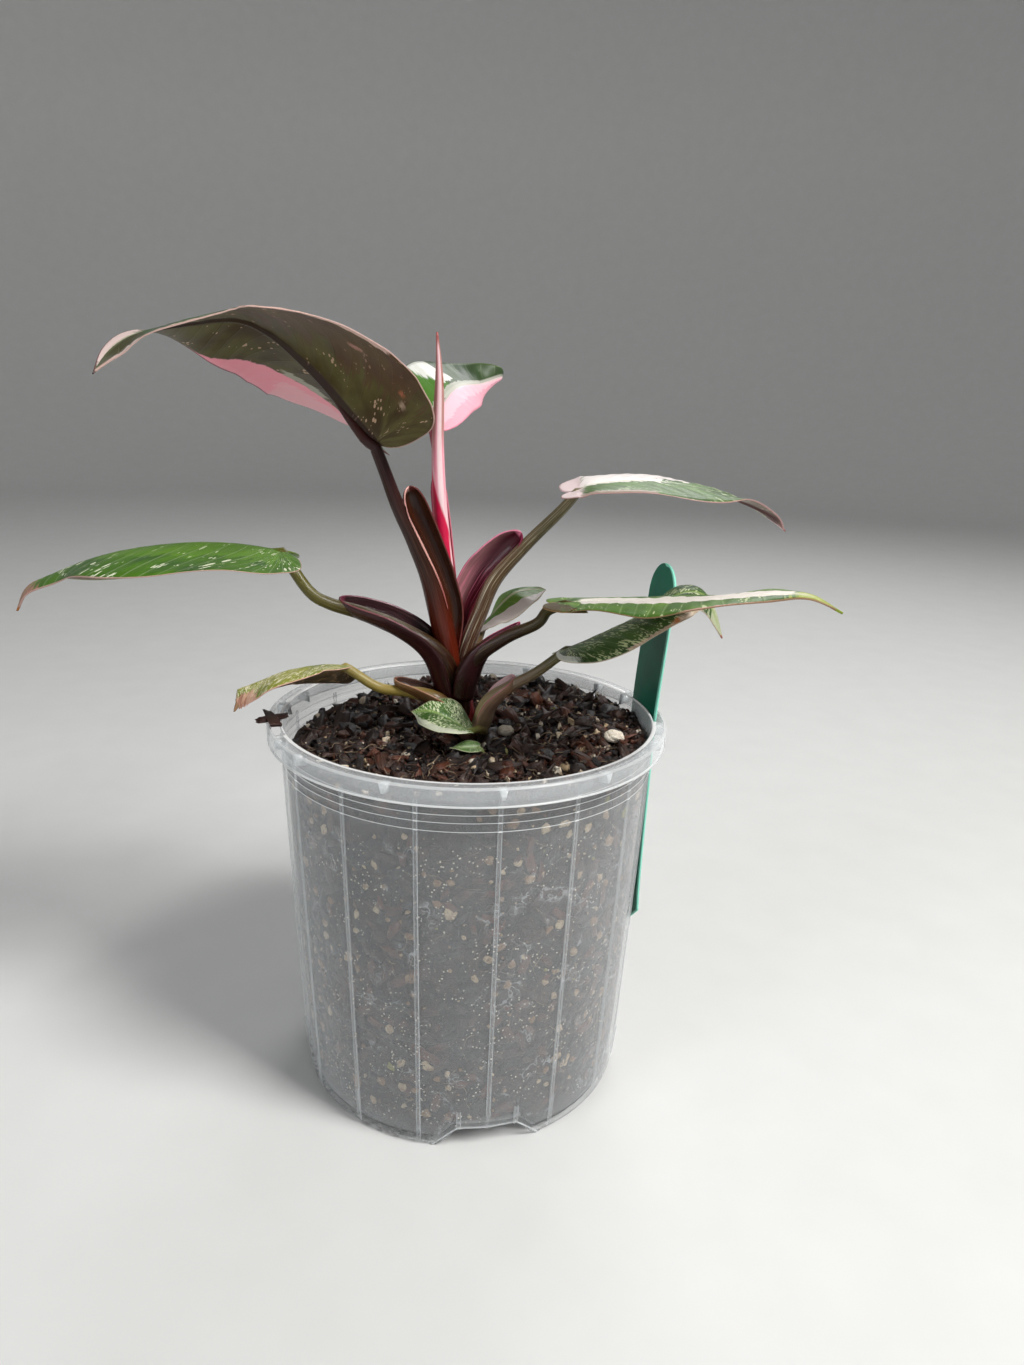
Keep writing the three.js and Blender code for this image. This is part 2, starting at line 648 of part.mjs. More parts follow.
function buildPot() {
  const heights = [POT.footChamfer * 1.5, POT.bulgeHeight / 2, POT.bulgeHeight, POT.flareFrom];
  const underLedge = POT.height - POT.ledgeThickness;
  const skirtInner = POT.rimRadius - POT.skirtThickness;
  const shell = turned([
    [0, 0],
    [POT.footRadius - POT.footChamfer, 0],
    ...heights.map((z) => [bodyRadius(z), z]),
    [POT.topRadius + 0.5, underLedge],
    [skirtInner, underLedge],
    [skirtInner, POT.skirtBottom],
    [POT.rimRadius, POT.skirtBottom],
    [POT.rimRadius, POT.height - POT.edgeBevel],
    [POT.rimRadius - POT.edgeBevel, POT.height],
    [POT.lipRadius, POT.height],
    [bodyRadius(POT.flareFrom) - POT.wall, POT.flareFrom],
    ...[POT.bulgeHeight, POT.bulgeHeight / 2, POT.floor].map((z) => [bodyRadius(z) - POT.wall, z]),
    [0, POT.floor],
  ]);
  const ribs = [];
  for (let k = 0; k < RIB.count; k += 1) {
    const angle = RIB.firstAngle + (360 / RIB.count) * k;
    const foot = drainAt(angle) ? DRAIN.height + 0.2 : RIB.from;
    const heights = [foot, RIB.footHeight, RIB.footHeight + 0.4, POT.bulgeHeight, POT.skirtBottom];
    const rise = (z) => (z <= RIB.footHeight ? RIB.footRise : RIB.rise);
    const outer = heights.map((z) => [bodyRadius(z) + rise(z), z]);
    const inner = heights.map((z) => [bodyRadius(z) - POT.wall / 2, z]).reverse();
    ribs.push(radialSlab([...outer, ...inner], RIB.width, angle));
  }
  const webs = [];
  for (const angle of webAngles()) {
    const outline = [
      [POT.topRadius - WEB.sink, WEB.bottom],
      [skirtInner + WEB.sink, WEB.bottom + WEB.slope],
      [skirtInner + WEB.sink, underLedge + WEB.sink],
      [POT.topRadius - WEB.sink, underLedge + WEB.sink],
    ];
    webs.push(radialSlab(outline, WEB.thickness, angle));
  }
  const coverTop = DRAIN.height + 2 * DRAIN.cover;
  const covers = DRAIN.angles.map((angle) => {
    const cover = drainBlock(angle, DRAIN.cover, DRAIN.innerRadius, POT.footRadius - 0.3);
    const within = [[0, 0], [bodyRadius(0), 0], [bodyRadius(coverTop), coverTop], [0, coverTop]];
    return cover.intersect(turned(within));
  });
  const drains = DRAIN.angles.map((angle) => {
    return drainBlock(angle, 0, DRAIN.innerRadius - 2, POT.rimRadius);
  });
  const slots = SLOT.angles.map((angle) => slotCutter(angle));
  const whole = unite([shell, ...ribs, ...webs, ...covers]);
  return largestBody(whole.subtract(unite([...drains, ...slots])));
}

function drainAt(angle) {
  return DRAIN.angles.some((drain) => Math.abs(((angle - drain + 540) % 360) - 180) < 20);
}

/** Webs stand every 30 degrees, but each label slot has one at either end instead of one in its middle. */
function webAngles() {
  const angles = [];
  for (let k = 0; k < 360 / WEB.pitch; k += 1) {
    const angle = WEB.firstAngle + WEB.pitch * k;
    const slot = SLOT.angles.find((s) => Math.abs(((angle - s + 540) % 360) - 180) < 1);
    if (slot === undefined) angles.push(angle);
    else angles.push(slot - SLOT.halfAngle - SLOT.shoulder, slot + SLOT.halfAngle + SLOT.shoulder);
  }
  return angles;
}

/** The curved opening through the ledge that a label is pushed into. */
function slotCutter(angle) {
  const from = (angle - SLOT.halfAngle - 90) * RAD;
  const to = (angle + SLOT.halfAngle - 90) * RAD;
  const shape = new THREE.Shape();
  shape.absarc(0, 0, SLOT.outer, from, to, false);
  shape.absarc(0, 0, SLOT.inner, to, from, true);
  const extrusion = { depth: SLOT.depth + 1, bevelEnabled: false, curveSegments: 6 };
  return solidOf(new THREE.ExtrudeGeometry(shape, extrusion).translate(0, 0, POT.height - SLOT.depth));
}

// ---------------------------------------------------------------- soil

/** A small repeatable random number generator. */
function randomFrom(seed) {
  let state = seed;
  return () => {
    state = (state * 1664525 + 1013904223) % 4294967296;
    return state / 4294967296;
  };
}

/** Height of the loose soil surface at a place. */
function soilHeight(x, y) {
  const tilt = ((x < 0 ? SOIL.leftDip : SOIL.rightRise) * x) / POT.footRadius;
  const back = (SOIL.backRise * Math.max(0, y)) / POT.footRadius;
  const wave = Math.sin(x * 0.31 + 1.2) * Math.cos(y * 0.27) + 0.6 * Math.sin(x * 0.13 - y * 0.41);
  return SOIL.level + tilt + back + SOIL.roughness * wave;
}

/** The soil as a plug with an uneven top. */
function soilPlug(radius) {
  const points = [new THREE.Vector3(0, 0, soilHeight(0, 0))];
  const faces = [];
  for (let i = 1; i <= SOIL.rings; i += 1) {
    for (let s = 0; s < SOIL.sectors; s += 1) {
      const turn = (2 * Math.PI * (s + (i % 2) / 2)) / SOIL.sectors;
      const reach = (radius * i) / SOIL.rings;
      const [x, y] = [reach * Math.cos(turn), reach * Math.sin(turn)];
      points.push(new THREE.Vector3(x, y, soilHeight(x, y)));
    }
  }
  const at = (i, s) => 1 + (i - 1) * SOIL.sectors + ((s + SOIL.sectors) % SOIL.sectors);
  for (let s = 0; s < SOIL.sectors; s += 1) {
    faces.push([0, at(1, s), at(1, s + 1)]);
    for (let i = 1; i < SOIL.rings; i += 1) {
      const shift = i % 2 ? 1 : 0;
      faces.push([at(i, s), at(i + 1, s + shift), at(i, s + 1)]);
      faces.push([at(i, s + 1), at(i + 1, s + shift), at(i + 1, s + shift + 1)]);
    }
  }
  const bottom = points.length;
  for (let s = 0; s < SOIL.sectors; s += 1) {
    const rim = points[at(SOIL.rings, s)];
    points.push(new THREE.Vector3(rim.x, rim.y, 0));
  }
  points.push(new THREE.Vector3(0, 0, 0));
  const centre = points.length - 1;
  for (let s = 0; s < SOIL.sectors; s += 1) {
    const next = (s + 1) % SOIL.sectors;
    faces.push([at(SOIL.rings, s), bottom + s, at(SOIL.rings, s + 1)]);
    faces.push([at(SOIL.rings, s + 1), bottom + s, bottom + next]);
    faces.push([bottom + s, centre, bottom + next]);
  }
  return solidOf(indexedGeometry(points, faces));
}

/** A broken piece of bark: a box with its corners pushed about. */
function barkChip(random, size, place, turn) {
  const box = new THREE.BoxGeometry(...size);
  const merged = mergeVertices(box.deleteAttribute('normal').deleteAttribute('uv'), 1e-4);
  const corners = merged.attributes.position;
  for (let k = 0; k < corners.count; k += 1) {
    const pull = () => 0.62 + 0.38 * random();
    corners.setXYZ(k, corners.getX(k) * pull(), corners.getY(k) * pull(), corners.getZ(k) * pull());
  }
  merged.applyQuaternion(new THREE.Quaternion().setFromEuler(new THREE.Euler(...turn)));
  return solidOf(merged.translate(...place));
}

function soilChips() {
  const random = randomFrom(SOIL.seed);
  const between = ([low, high]) => low + (high - low) * random();
  const chips = [];
  const golden = Math.PI * (3 - Math.sqrt(5));
  for (let k = 0; k < SOIL.chips; k += 1) {
    const reach = THREE.MathUtils.lerp(SOIL.chipsFrom, SOIL.chipsTo, Math.sqrt((k + 0.5) / SOIL.chips));
    const turn = golden * k + 0.4 * random();
    const [x, y] = [reach * Math.cos(turn), reach * Math.sin(turn)];
    const size = [between(SOIL.chipLength), between(SOIL.chipWidth), between(SOIL.chipThickness)];
    const lean = () => SOIL.chipLean * (2 * random() - 1);
    const tumble = [lean(), lean(), Math.PI * random()];
    chips.push(barkChip(random, size, [x, y, soilHeight(x, y) + SOIL.chipLift], tumble));
  }
  return chips;
}

/** A rough round lump: a ball of small faces pushed in and out. */
function lump(at, size, seed) {
  const random = randomFrom(seed);
  const bare = new THREE.IcosahedronGeometry(1, 1).deleteAttribute('normal').deleteAttribute('uv');
  const ball = mergeVertices(bare);
  const points = ball.attributes.position;
  for (let k = 0; k < points.count; k += 1) {
    const pull = 0.85 + 0.3 * random();
    const scale = new THREE.Vector3().fromArray(size).multiplyScalar(pull);
    points.setXYZ(k, points.getX(k) * scale.x, points.getY(k) * scale.y, points.getZ(k) * scale.z);
  }
  return solidOf(ball.translate(...at));
}

// ---------------------------------------------------------------- label and rim chip

/** A flat stake with a round top and a pointed foot, bent a little where it passes the rim. */
function buildLabel() {
  const path = pathThrough(LABEL.path);
  const length = path.getLength();
  const half = LABEL.width / 2;
  const across = vector(LABEL.across).normalize();
  const widthAt = (distance) => {
    const foot = half * Math.min(1, (distance + LABEL.bluntness) / LABEL.pointLength);
    const pastRound = Math.max(0, (half - (length - distance)) / half);
    const top = half * Math.sqrt(1 - pastRound ** 2);
    return Math.max(LABEL.bluntness, Math.min(foot, top));
  };
  const stations = [0, LABEL.pointLength];
  for (let k = 1; k <= LABEL.steps; k += 1) {
    stations.push(THREE.MathUtils.lerp(LABEL.pointLength, length - half, k / LABEL.steps));
  }
  for (let k = 1; k <= LABEL.steps; k += 1) {
    stations.push(length - half * (1 - Math.sin((k / LABEL.steps) * (Math.PI / 2))));
  }
  const points = [];
  const faces = [];
  stations.forEach((distance, i) => {
    const centre = path.getPointAt(Math.min(1, distance / length));
    const reach = widthAt(distance);
    points.push(centre.clone().addScaledVector(across, -reach));
    points.push(centre.clone().addScaledVector(across, reach));
    if (i > 0) faces.push([2 * i - 2, 2 * i - 1, 2 * i + 1], [2 * i - 2, 2 * i + 1, 2 * i]);
  });
  return thicken(points, faces, LABEL.thickness);
}

function buildRimChip() {
  const random = randomFrom(7);
  const [x, y] = RIM_CHIP.at;
  const arms = RIM_CHIP.arms.map(([length, width, thickness, turn]) => {
    const z = POT.height + RIM_CHIP.lift + thickness / 2;
    return barkChip(random, [length, width, thickness], [x, y, z], [0, 0, turn * RAD]);
  });
  return unite(arms);
}

// ---------------------------------------------------------------- assembly

const plant = new THREE.Group();

function place(name, solid, color, roughness, extra = {}) {
  const material = new THREE.MeshStandardMaterial({ color, roughness, metalness: 0, ...extra });
  const mesh = new THREE.Mesh(geometryOf(solid), material);
  mesh.name = name;
  plant.add(mesh);
}

const crown = loft(CROWN.path, CROWN.radii, CROWN.sides, STALK.steps);
const crownClearance = loft(CROWN.path, CROWN.radii, CROWN.sides, STALK.steps, GAP);
const spike = loft(NEW_LEAF.path, NEW_LEAF.radii, NEW_LEAF.sides, NEW_LEAF.steps);

place('pot', buildPot(), 0xd5dadb, 0.25, { transparent: true, opacity: 0.45 });
place('crown_stem', crown, 0x3a1c1e, 0.4);

let taken = crownClearance;
for (const leaf of LEAVES) {
  const solid = largestBody(footOf(leaf).add(bladeSolid(leaf)).subtract(taken));
  place(leaf.name, solid, leaf.color, 0.35);
  taken = taken.add(footOf(leaf, GAP));
}
place('new_leaf_rolled', largestBody(spike.subtract(taken)), 0xd98a95, 0.35);

const lumps = PERLITE.map(({ at, size, seed }) => lump(at, size, seed));
const lumpClearance = PERLITE.map(({ at, size, seed }) => lump(at, size.map((s) => s + 1.3 * GAP), seed));
const plug = soilPlug(bodyRadius(POT.skirtBottom)).add(unite(soilChips()));
const drainCovers = DRAIN.angles.map((angle) => {
  return drainBlock(angle, DRAIN.cover + GAP, DRAIN.innerRadius - GAP, POT.rimRadius);
});
const hollow = insideOfPot(GAP, POT.height + 3);
const smallBlades = LEAVES.filter((leaf) => !leaf.sheath).map((leaf) => bladeSolid(leaf, GAP));
const soil = plug
  .intersect(hollow)
  .subtract(unite([taken, ...drainCovers, ...lumpClearance, ...smallBlades]));
place('soil', largestBody(soil), 0x2a1c16, 0.95);
PERLITE.forEach(({ name }, k) => place(name, lumps[k], 0xcfc4ad, 0.9));
place('plant_label', buildLabel(), 0x14705a, 0.45);
place('bark_chip_on_rim', buildRimChip(), 0x3a211b, 0.9);

export default plant;
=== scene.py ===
"""The looks of a young pink princess philodendron in a clear nursery pot.

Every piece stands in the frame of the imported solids: metres, +Z up, the origin in the middle of
the pot's underside. Sizes of the plant, the pot, the soil and the label are given in millimetres,
and those of the stage in metres. Angles round the pot are 0 at the front (-Y) and 90 at +X.
"""

from __future__ import annotations

import logging
import math
from dataclasses import dataclass
from enum import Enum
from typing import Callable, Iterable, Sequence

import bmesh
import bpy
import numpy as np
from mathutils import Matrix, Vector, noise

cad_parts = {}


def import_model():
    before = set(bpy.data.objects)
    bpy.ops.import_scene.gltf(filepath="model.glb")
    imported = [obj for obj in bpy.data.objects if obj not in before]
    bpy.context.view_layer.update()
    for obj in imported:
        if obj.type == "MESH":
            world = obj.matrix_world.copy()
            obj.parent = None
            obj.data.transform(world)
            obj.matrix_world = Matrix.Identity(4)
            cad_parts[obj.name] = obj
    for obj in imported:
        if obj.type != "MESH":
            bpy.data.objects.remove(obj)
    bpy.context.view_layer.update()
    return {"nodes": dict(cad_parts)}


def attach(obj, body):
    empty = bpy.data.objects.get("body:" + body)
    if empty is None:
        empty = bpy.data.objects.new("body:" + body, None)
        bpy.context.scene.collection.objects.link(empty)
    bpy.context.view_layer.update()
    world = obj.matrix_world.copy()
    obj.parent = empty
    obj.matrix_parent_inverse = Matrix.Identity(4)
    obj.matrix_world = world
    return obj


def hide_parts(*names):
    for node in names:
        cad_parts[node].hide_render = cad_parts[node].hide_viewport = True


LOG = logging.getLogger("philodendron")
MM = 0.001
BODY = "root"

Colour = tuple[float, float, float]
Point = tuple[float, float, float]
Array = np.ndarray
Piece = bpy.types.Object
Skin = bpy.types.Material
Socket = bpy.types.NodeSocket


# ---- shader maths


def operator(operation: str, turned: bool = False) -> Callable[["Expr", "Expr | float"], "Expr"]:
    """A method that joins an expression and another, or a number, with one Math node.

    Args:
        operation: the node's operation.
        turned: whether the other comes first.

    Returns:
        The method.
    """

    def apply(self: "Expr", other: "Expr | float") -> "Expr":
        """Adds the node."""
        return self.maths(operation, *((other, self) if turned else (self, other)))

    return apply


class Expr:
    """One number of a shader tree, with Python's operators adding Math nodes to the tree."""

    def __init__(self, finish: "Shade", socket: Socket) -> None:
        """Wraps an output socket of a finish's tree."""
        self.finish = finish
        self.socket = socket

    def maths(self, operation: str, *values: "Expr | float", clamp: bool = False) -> "Expr":
        """Adds one Math node that works on the values, in order."""
        inputs = dict(enumerate(values))
        return self.finish.node("ShaderNodeMath", inputs, operation=operation, use_clamp=clamp)

    __add__ = __radd__ = operator("ADD")
    __sub__ = operator("SUBTRACT")
    __rsub__ = operator("SUBTRACT", turned=True)
    __mul__ = __rmul__ = operator("MULTIPLY")
    __truediv__ = operator("DIVIDE")
    __pow__ = operator("POWER")
    higher = operator("MAXIMUM")

    def __abs__(self) -> "Expr":
        """The size of self, without its sign."""
        return self.maths("ABSOLUTE", self)

    def fraction(self) -> "Expr":
        """What is left of self past the whole number below it."""
        return self.maths("FRACT", self)

    def clamped(self) -> "Expr":
        """self held between 0 and 1."""
        return self.maths("ADD", self, 0.0, clamp=True)

    def ramp(self, low: "Expr | float", high: "Expr | float") -> "Expr":
        """A smooth step from 0 at low to 1 at high; high may be below low."""
        share = ((self - low) / (high - low)).clamped()
        return share * share * (3.0 - 2.0 * share)

    def band(self, low: float, high: float, soft: float) -> "Expr":
        """1 between low and high, fading over soft on both sides."""
        return self.ramp(low - soft, low + soft) * self.ramp(high + soft, high - soft)


class Tree:
    """A node tree under construction."""

    tree: bpy.types.NodeTree

    def add(self, kind: str, inputs: dict | None, out: int | str, settings: dict) -> Socket:
        """Adds any node.

        Args:
            kind: the node's type.
            inputs: values, colours, sockets or expressions by socket name or number.
            out: the output socket that is wanted.
            settings: the node's own settings, which are set first.

        Returns:
            The chosen output.
        """
        made = self.tree.nodes.new(kind)
        for key, value in settings.items():
            setattr(made, key, value)
        for key, value in (inputs or {}).items():
            self.feed(made.inputs[key], value)
        return made.outputs[out]

    def feed(self, socket: Socket, value: object) -> None:
        """Links a socket or an expression to a socket, or sets the socket's own value."""
        if isinstance(value, Expr):
            value = value.socket
        if isinstance(value, Socket):
            self.tree.links.new(value, socket)
        elif socket.type == "RGBA":
            socket.default_value = (*(srgb(value) if isinstance(value, str) else value), 1.0)
        else:
            socket.default_value = value


class Shade(Tree):
    """A node material under construction, with one Principled shader. A colour may be a code."""

    def __init__(self, name: str) -> None:
        """Starts an empty material.

        Args:
            name: the material's name.
        """
        self.material = bpy.data.materials.new(name)
        self.material.use_nodes = True
        self.tree = self.material.node_tree
        self.tree.nodes.clear()
        output = self.tree.nodes.new("ShaderNodeOutputMaterial")
        self.shader = self.tree.nodes.new("ShaderNodeBsdfPrincipled")
        self.tree.links.new(self.shader.outputs[0], output.inputs[0])
        self.colour: Expr | None = None

    def node(self, kind: str, inputs: dict | None = None, out: int | str = 0, **settings: object) -> Expr:
        """Adds any node and wraps one of its outputs."""
        return Expr(self, self.add(kind, inputs, out, settings))

    def attribute(self, name: str) -> tuple[Expr, Expr, Expr]:
        """The three numbers of a vector attribute of the mesh."""
        return self.split(self.node("ShaderNodeAttribute", out="Vector", attribute_name=name))

    def split(self, vector: Expr) -> tuple[Expr, Expr, Expr]:
        """The three parts of a vector."""
        parts = self.node("ShaderNodeSeparateXYZ", {0: vector}).socket.node
        return tuple(Expr(self, part) for part in parts.outputs)

    def place(self) -> Expr:
        """The place on the object, in metres."""
        return self.node("ShaderNodeTexCoord", out="Object")

    def join(self, x: Expr | float, y: Expr | float, z: Expr | float = 0.0) -> Expr:
        """A vector from three numbers."""
        return self.node("ShaderNodeCombineXYZ", {0: x, 1: y, 2: z})

    def noise(self, where: Expr, scale: float, detail: float = 2.0, rough: float = 0.5) -> Expr:
        """Soft random numbers at a place, mostly between 0.3 and 0.7, with finer layers by detail."""
        inputs = {"Vector": where, "Scale": scale, "Detail": detail, "Roughness": rough}
        return self.node("ShaderNodeTexNoise", inputs)

    def cells(self, where: Expr, scale: float) -> Expr:
        """Distance from the nearest of many scattered spots, for grains and specks."""
        return self.node("ShaderNodeTexVoronoi", {"Vector": where, "Scale": scale}, out="Distance")

    def mix(self, share: Expr | float, first: Expr | Colour | str, second: Expr | Colour | str) -> Expr:
        """first where share is 0 and second where it is 1, as colours."""
        return self.node("ShaderNodeMix", {0: share, 6: first, 7: second}, 2, data_type="RGBA")

    def over(self, share: Expr | float, colour: Expr | Colour | str) -> None:
        """Lays another colour over the finish's own."""
        self.colour = self.mix(share, self.colour, colour)

    def shade(self, factor: Expr) -> None:
        """Makes the finish's own colour lighter or darker by a number near 1."""
        self.colour = self.tint(self.colour, factor)

    def tint(self, colour: Expr, factor: Expr) -> Expr:
        """A colour made lighter or darker by a number near 1."""
        grey = self.join(factor, factor, factor)
        return self.node("ShaderNodeVectorMath", {0: colour, 1: grey}, operation="MULTIPLY")

    def finish(self, roughness: Expr | float, height: Expr, depth_mm: float, **constants: object) -> Skin:
        """Joins the finish's colour and the rest of the pattern to the shader.

        Args:
            roughness: the roughness.
            height: relief between 0 and 1 for a Bump node.
            depth_mm: how deep a height of 1 is.
            constants: values or expressions for other sockets, with _ for a space in their names.

        Returns:
            The finished material.
        """
        bump = self.node("ShaderNodeBump", {"Strength": 1.0, "Distance": depth_mm * MM, "Height": height})
        constants |= {"Base Color": self.colour, "Roughness": roughness, "Normal": bump}
        for key, value in constants.items():
            self.feed(self.shader.inputs[key.replace("_", " ")], value)
        return self.material


# ---- meshes


def new_piece(name: str, points: Array, faces: Iterable[Sequence[int]]) -> Piece:
    """Makes a smooth-shaded mesh object from points in metres.

    Args:
        name: the object's name.
        points: an (n, 3) array.
        faces: corner numbers of each face, turning left seen from outside.

    Returns:
        The linked object.
    """
    mesh = bpy.data.meshes.new(name)
    mesh.from_pydata([tuple(p) for p in points], [], [tuple(f) for f in faces])
    mesh.update()
    mesh.shade_smooth()
    return linked(mesh)


def linked(data: bpy.types.ID) -> Piece:
    """Puts a mesh, camera or light in the scene as an object of the same name."""
    piece = bpy.data.objects.new(data.name, data)
    bpy.context.scene.collection.objects.link(piece)
    return piece


def labelled(name: str, bm: bmesh.types.BMesh) -> Piece:
    """Makes an object whose points keep their own place, in millimetres, as "local".

    Args:
        name: the object's name.
        bm: its mesh, which is freed.

    Returns:
        The linked object.
    """
    mesh = bpy.data.meshes.new(name)
    bm.to_mesh(mesh)
    bm.free()
    piece = linked(mesh)
    set_attribute(piece, "local", vertices(mesh) / MM)
    return piece


def vertices(mesh: bpy.types.Mesh) -> Array:
    """The places of a mesh's points, as an (n, 3) array."""
    places = np.empty(len(mesh.vertices) * 3, dtype=np.float32)
    mesh.vertices.foreach_get("co", places)
    return places.reshape(-1, 3)


def face_out(piece: Piece) -> None:
    """Turns the faces of a closed piece outwards."""
    bm = bmesh.new()
    bm.from_mesh(piece.data)
    bmesh.ops.recalc_face_normals(bm, faces=bm.faces)
    bm.to_mesh(piece.data)
    bm.free()


def set_attribute(piece: Piece, name: str, values: Array) -> None:
    """Stores one vector for each point of a piece under a name."""
    layer = piece.data.attributes.new(name, "FLOAT_VECTOR", "POINT")
    layer.data.foreach_set("vector", np.ascontiguousarray(values, dtype=np.float32).ravel())


def vertex_normals(points: Array, triangles: Array) -> Array:
    """Unit normals of a sheet of triangles at its points."""
    a, b, c = (points[triangles[:, k]] for k in range(3))
    flat = np.cross(b - a, c - a)
    normals = np.zeros_like(points)
    for k in range(3):
        np.add.at(normals, triangles[:, k], flat)
    lengths = np.linalg.norm(normals, axis=1, keepdims=True)
    return normals / np.where(lengths < 1e-12, 1.0, lengths)


def closed_shell(name: str, points: Array, quads: Array, upper: Array, lower: Array) -> Piece:
    """Gives an open sheet a thickness and closes its rim.

    Args:
        name: the object's name.
        points: the sheet's points in millimetres.
        quads: its faces, turning left seen from above; a repeated corner makes a triangle.
        upper: how far the upper face stands off the sheet at each point.
        lower: the same for the lower face.

    Returns:
        A closed mesh, with the upper face's points first and then the lower face's.
    """
    normals = vertex_normals(points, np.vstack([quads[:, [0, 1, 2]], quads[:, [0, 2, 3]]]))
    count = len(points)
    both = np.vstack([points + normals * upper[:, None], points - normals * lower[:, None]]) * MM
    faces: list[tuple[int, ...]] = []
    edges: dict[tuple[int, int], bool] = {}
    for quad in quads.tolist():
        corners = [c for k, c in enumerate(quad) if c != quad[k - 1]]
        if len(set(corners)) < 3:
            continue
        faces.append(tuple(corners))
        faces.append(tuple(c + count for c in reversed(corners)))
        for edge in zip(corners, corners[1:] + corners[:1]):
            edges[edge] = True
    for a, b in edges:
        if (b, a) not in edges:
            faces.append((b, a, a + count, b + count))
    return new_piece(name, both, faces)


def grid_quads(rows: int, columns: int, wrap: bool = False) -> Array:
    """Faces of a grid of points numbered row by row; wrap joins the last column to the first."""
    wide = columns if wrap else columns + 1
    i, j = (x.ravel() for x in np.meshgrid(np.arange(rows), np.arange(columns), indexing="ij"))
    k = (j + 1) % wide
    return np.column_stack([i * wide + j, i * wide + k, (i + 1) * wide + k, (i + 1) * wide + j])


def adopt(piece: Piece, skin: Skin, slot: str, *nodes: str) -> None:
    """Puts a finished piece on the body.

    Args:
        piece: the piece.
        skin: its only material.
        slot: the finish that the record gives it; not used.
        nodes: the solids that it stands for.
    """
    piece.data.materials.clear()
    piece.data.materials.append(skin)
    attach(piece, BODY)
    if nodes:
        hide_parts(*nodes)
    LOG.info("%s: %d faces", piece.name, len(piece.data.polygons))


class Path:
    """A smooth curve through points, read by its share of length."""

    SAMPLES = 400

    def __init__(self, points: Sequence[Point]) -> None:
        """Samples a Catmull-Rom curve through the points."""
        given = np.asarray(points, dtype=float)
        first = 2 * given[0] - given[1]
        last = 2 * given[-1] - given[-2]
        knots = np.vstack([first, given, last])
        spans = len(given) - 1
        at = np.linspace(0, spans, self.SAMPLES + 1)
        span = np.minimum(at.astype(int), spans - 1)
        t = (at - span)[:, None]
        p0, p1, p2, p3 = (knots[span + k] for k in range(4))
        v1, v2 = (p2 - p0) / 2, (p3 - p1) / 2
        self.places = ((2 * p1 - 2 * p2 + v1 + v2) * t**3 + (-3 * p1 + 3 * p2 - 2 * v1 - v2) * t**2
                       + v1 * t + p1)
        steps = np.linalg.norm(np.diff(self.places, axis=0), axis=1)
        self.reach = np.concatenate([[0], np.cumsum(steps)])
        self.length = float(self.reach[-1])

    def at(self, share: Array) -> Array:
        """Places at shares 0..1 of the length, as an (n, 3) array."""
        where = np.clip(share, 0, 1) * self.length
        return np.stack([np.interp(where, self.reach, self.places[:, k]) for k in range(3)], axis=-1)

    def tangent(self, share: Array) -> Array:
        """Unit directions of the curve at shares 0..1 of the length."""
        step = 2e-3
        ahead = self.at(np.clip(share + step, 0, 1)) - self.at(np.clip(share - step, 0, 1))
        return ahead / np.linalg.norm(ahead, axis=-1, keepdims=True)

    def frame(self, share: Array, wanted: Point) -> tuple[Array, Array, Array]:
        """Tangent, side (kept near a wanted direction) and normal at shares of the length."""
        tangent = self.tangent(share)
        toward = np.asarray(wanted, dtype=float)
        toward = toward / np.linalg.norm(toward)
        side = toward - tangent * (tangent @ toward)[..., None]
        side = side / np.linalg.norm(side, axis=-1, keepdims=True)
        return tangent, side, np.cross(side, tangent)


def along(values: Sequence[float], share: Array) -> Array:
    """Reads a list given at even steps of 0..1, with straight lines between them."""
    steps = np.linspace(0, 1, len(values)) if len(values) > 1 else np.array([0.0])
    return np.interp(share, steps, values)


def eased(values: Sequence[float], share: Array) -> Array:
    """Reads a list given at even steps of 0..1, with a smooth curve through them."""
    if len(values) < 3:
        return along(values, share)
    place = np.clip(share, 0, 1) * (len(values) - 1)
    step = np.minimum(place.astype(int), len(values) - 2)
    t = place - step
    padded = np.concatenate([[2 * values[0] - values[1]], values, [2 * values[-1] - values[-2]]])
    p0, p1, p2, p3 = (padded[step + k] for k in range(4))
    return 0.5 * (2 * p1 + (p2 - p0) * t + (2 * p0 - 5 * p1 + 4 * p2 - p3) * t**2
                  + (3 * p1 - p0 - 3 * p2 + p3) * t**3)


# ---- colours


def srgb(code: str) -> Colour:
    """A screen colour such as "8a5a2b" as linear light."""
    parts = (int(code[k:k + 2], 16) / 255 for k in (0, 2, 4))
    return tuple(p / 12.92 if p <= 0.04045 else ((p + 0.055) / 1.055) ** 2.4 for p in parts)


class Half(Enum):
    """A half of a blade, seen from above with the tip ahead."""

    RIGHT = 1
    LEFT = -1


@dataclass(frozen=True)
class Patch:
    """A coloured area of a blade that keeps to one side of a line along it.

    colour: what the area is coloured.
    across: from and to, as shares of the half width; right of the midrib is positive.
    along: from and to, as shares of the blade's length.
    ragged: how far its edge strays along the side veins, as a share of the half width.
    share: how fully it covers.
    seed: another number gives another edge.
    slant: how much further out both its limits lie at the tip than at the stalk.
    """

    colour: str
    across: tuple[float, float]
    along: tuple[float, float] = (-1.0, 2.0)
    ragged: float = 0.3
    share: float = 1.0
    seed: float = 0.0
    slant: float = 0.0


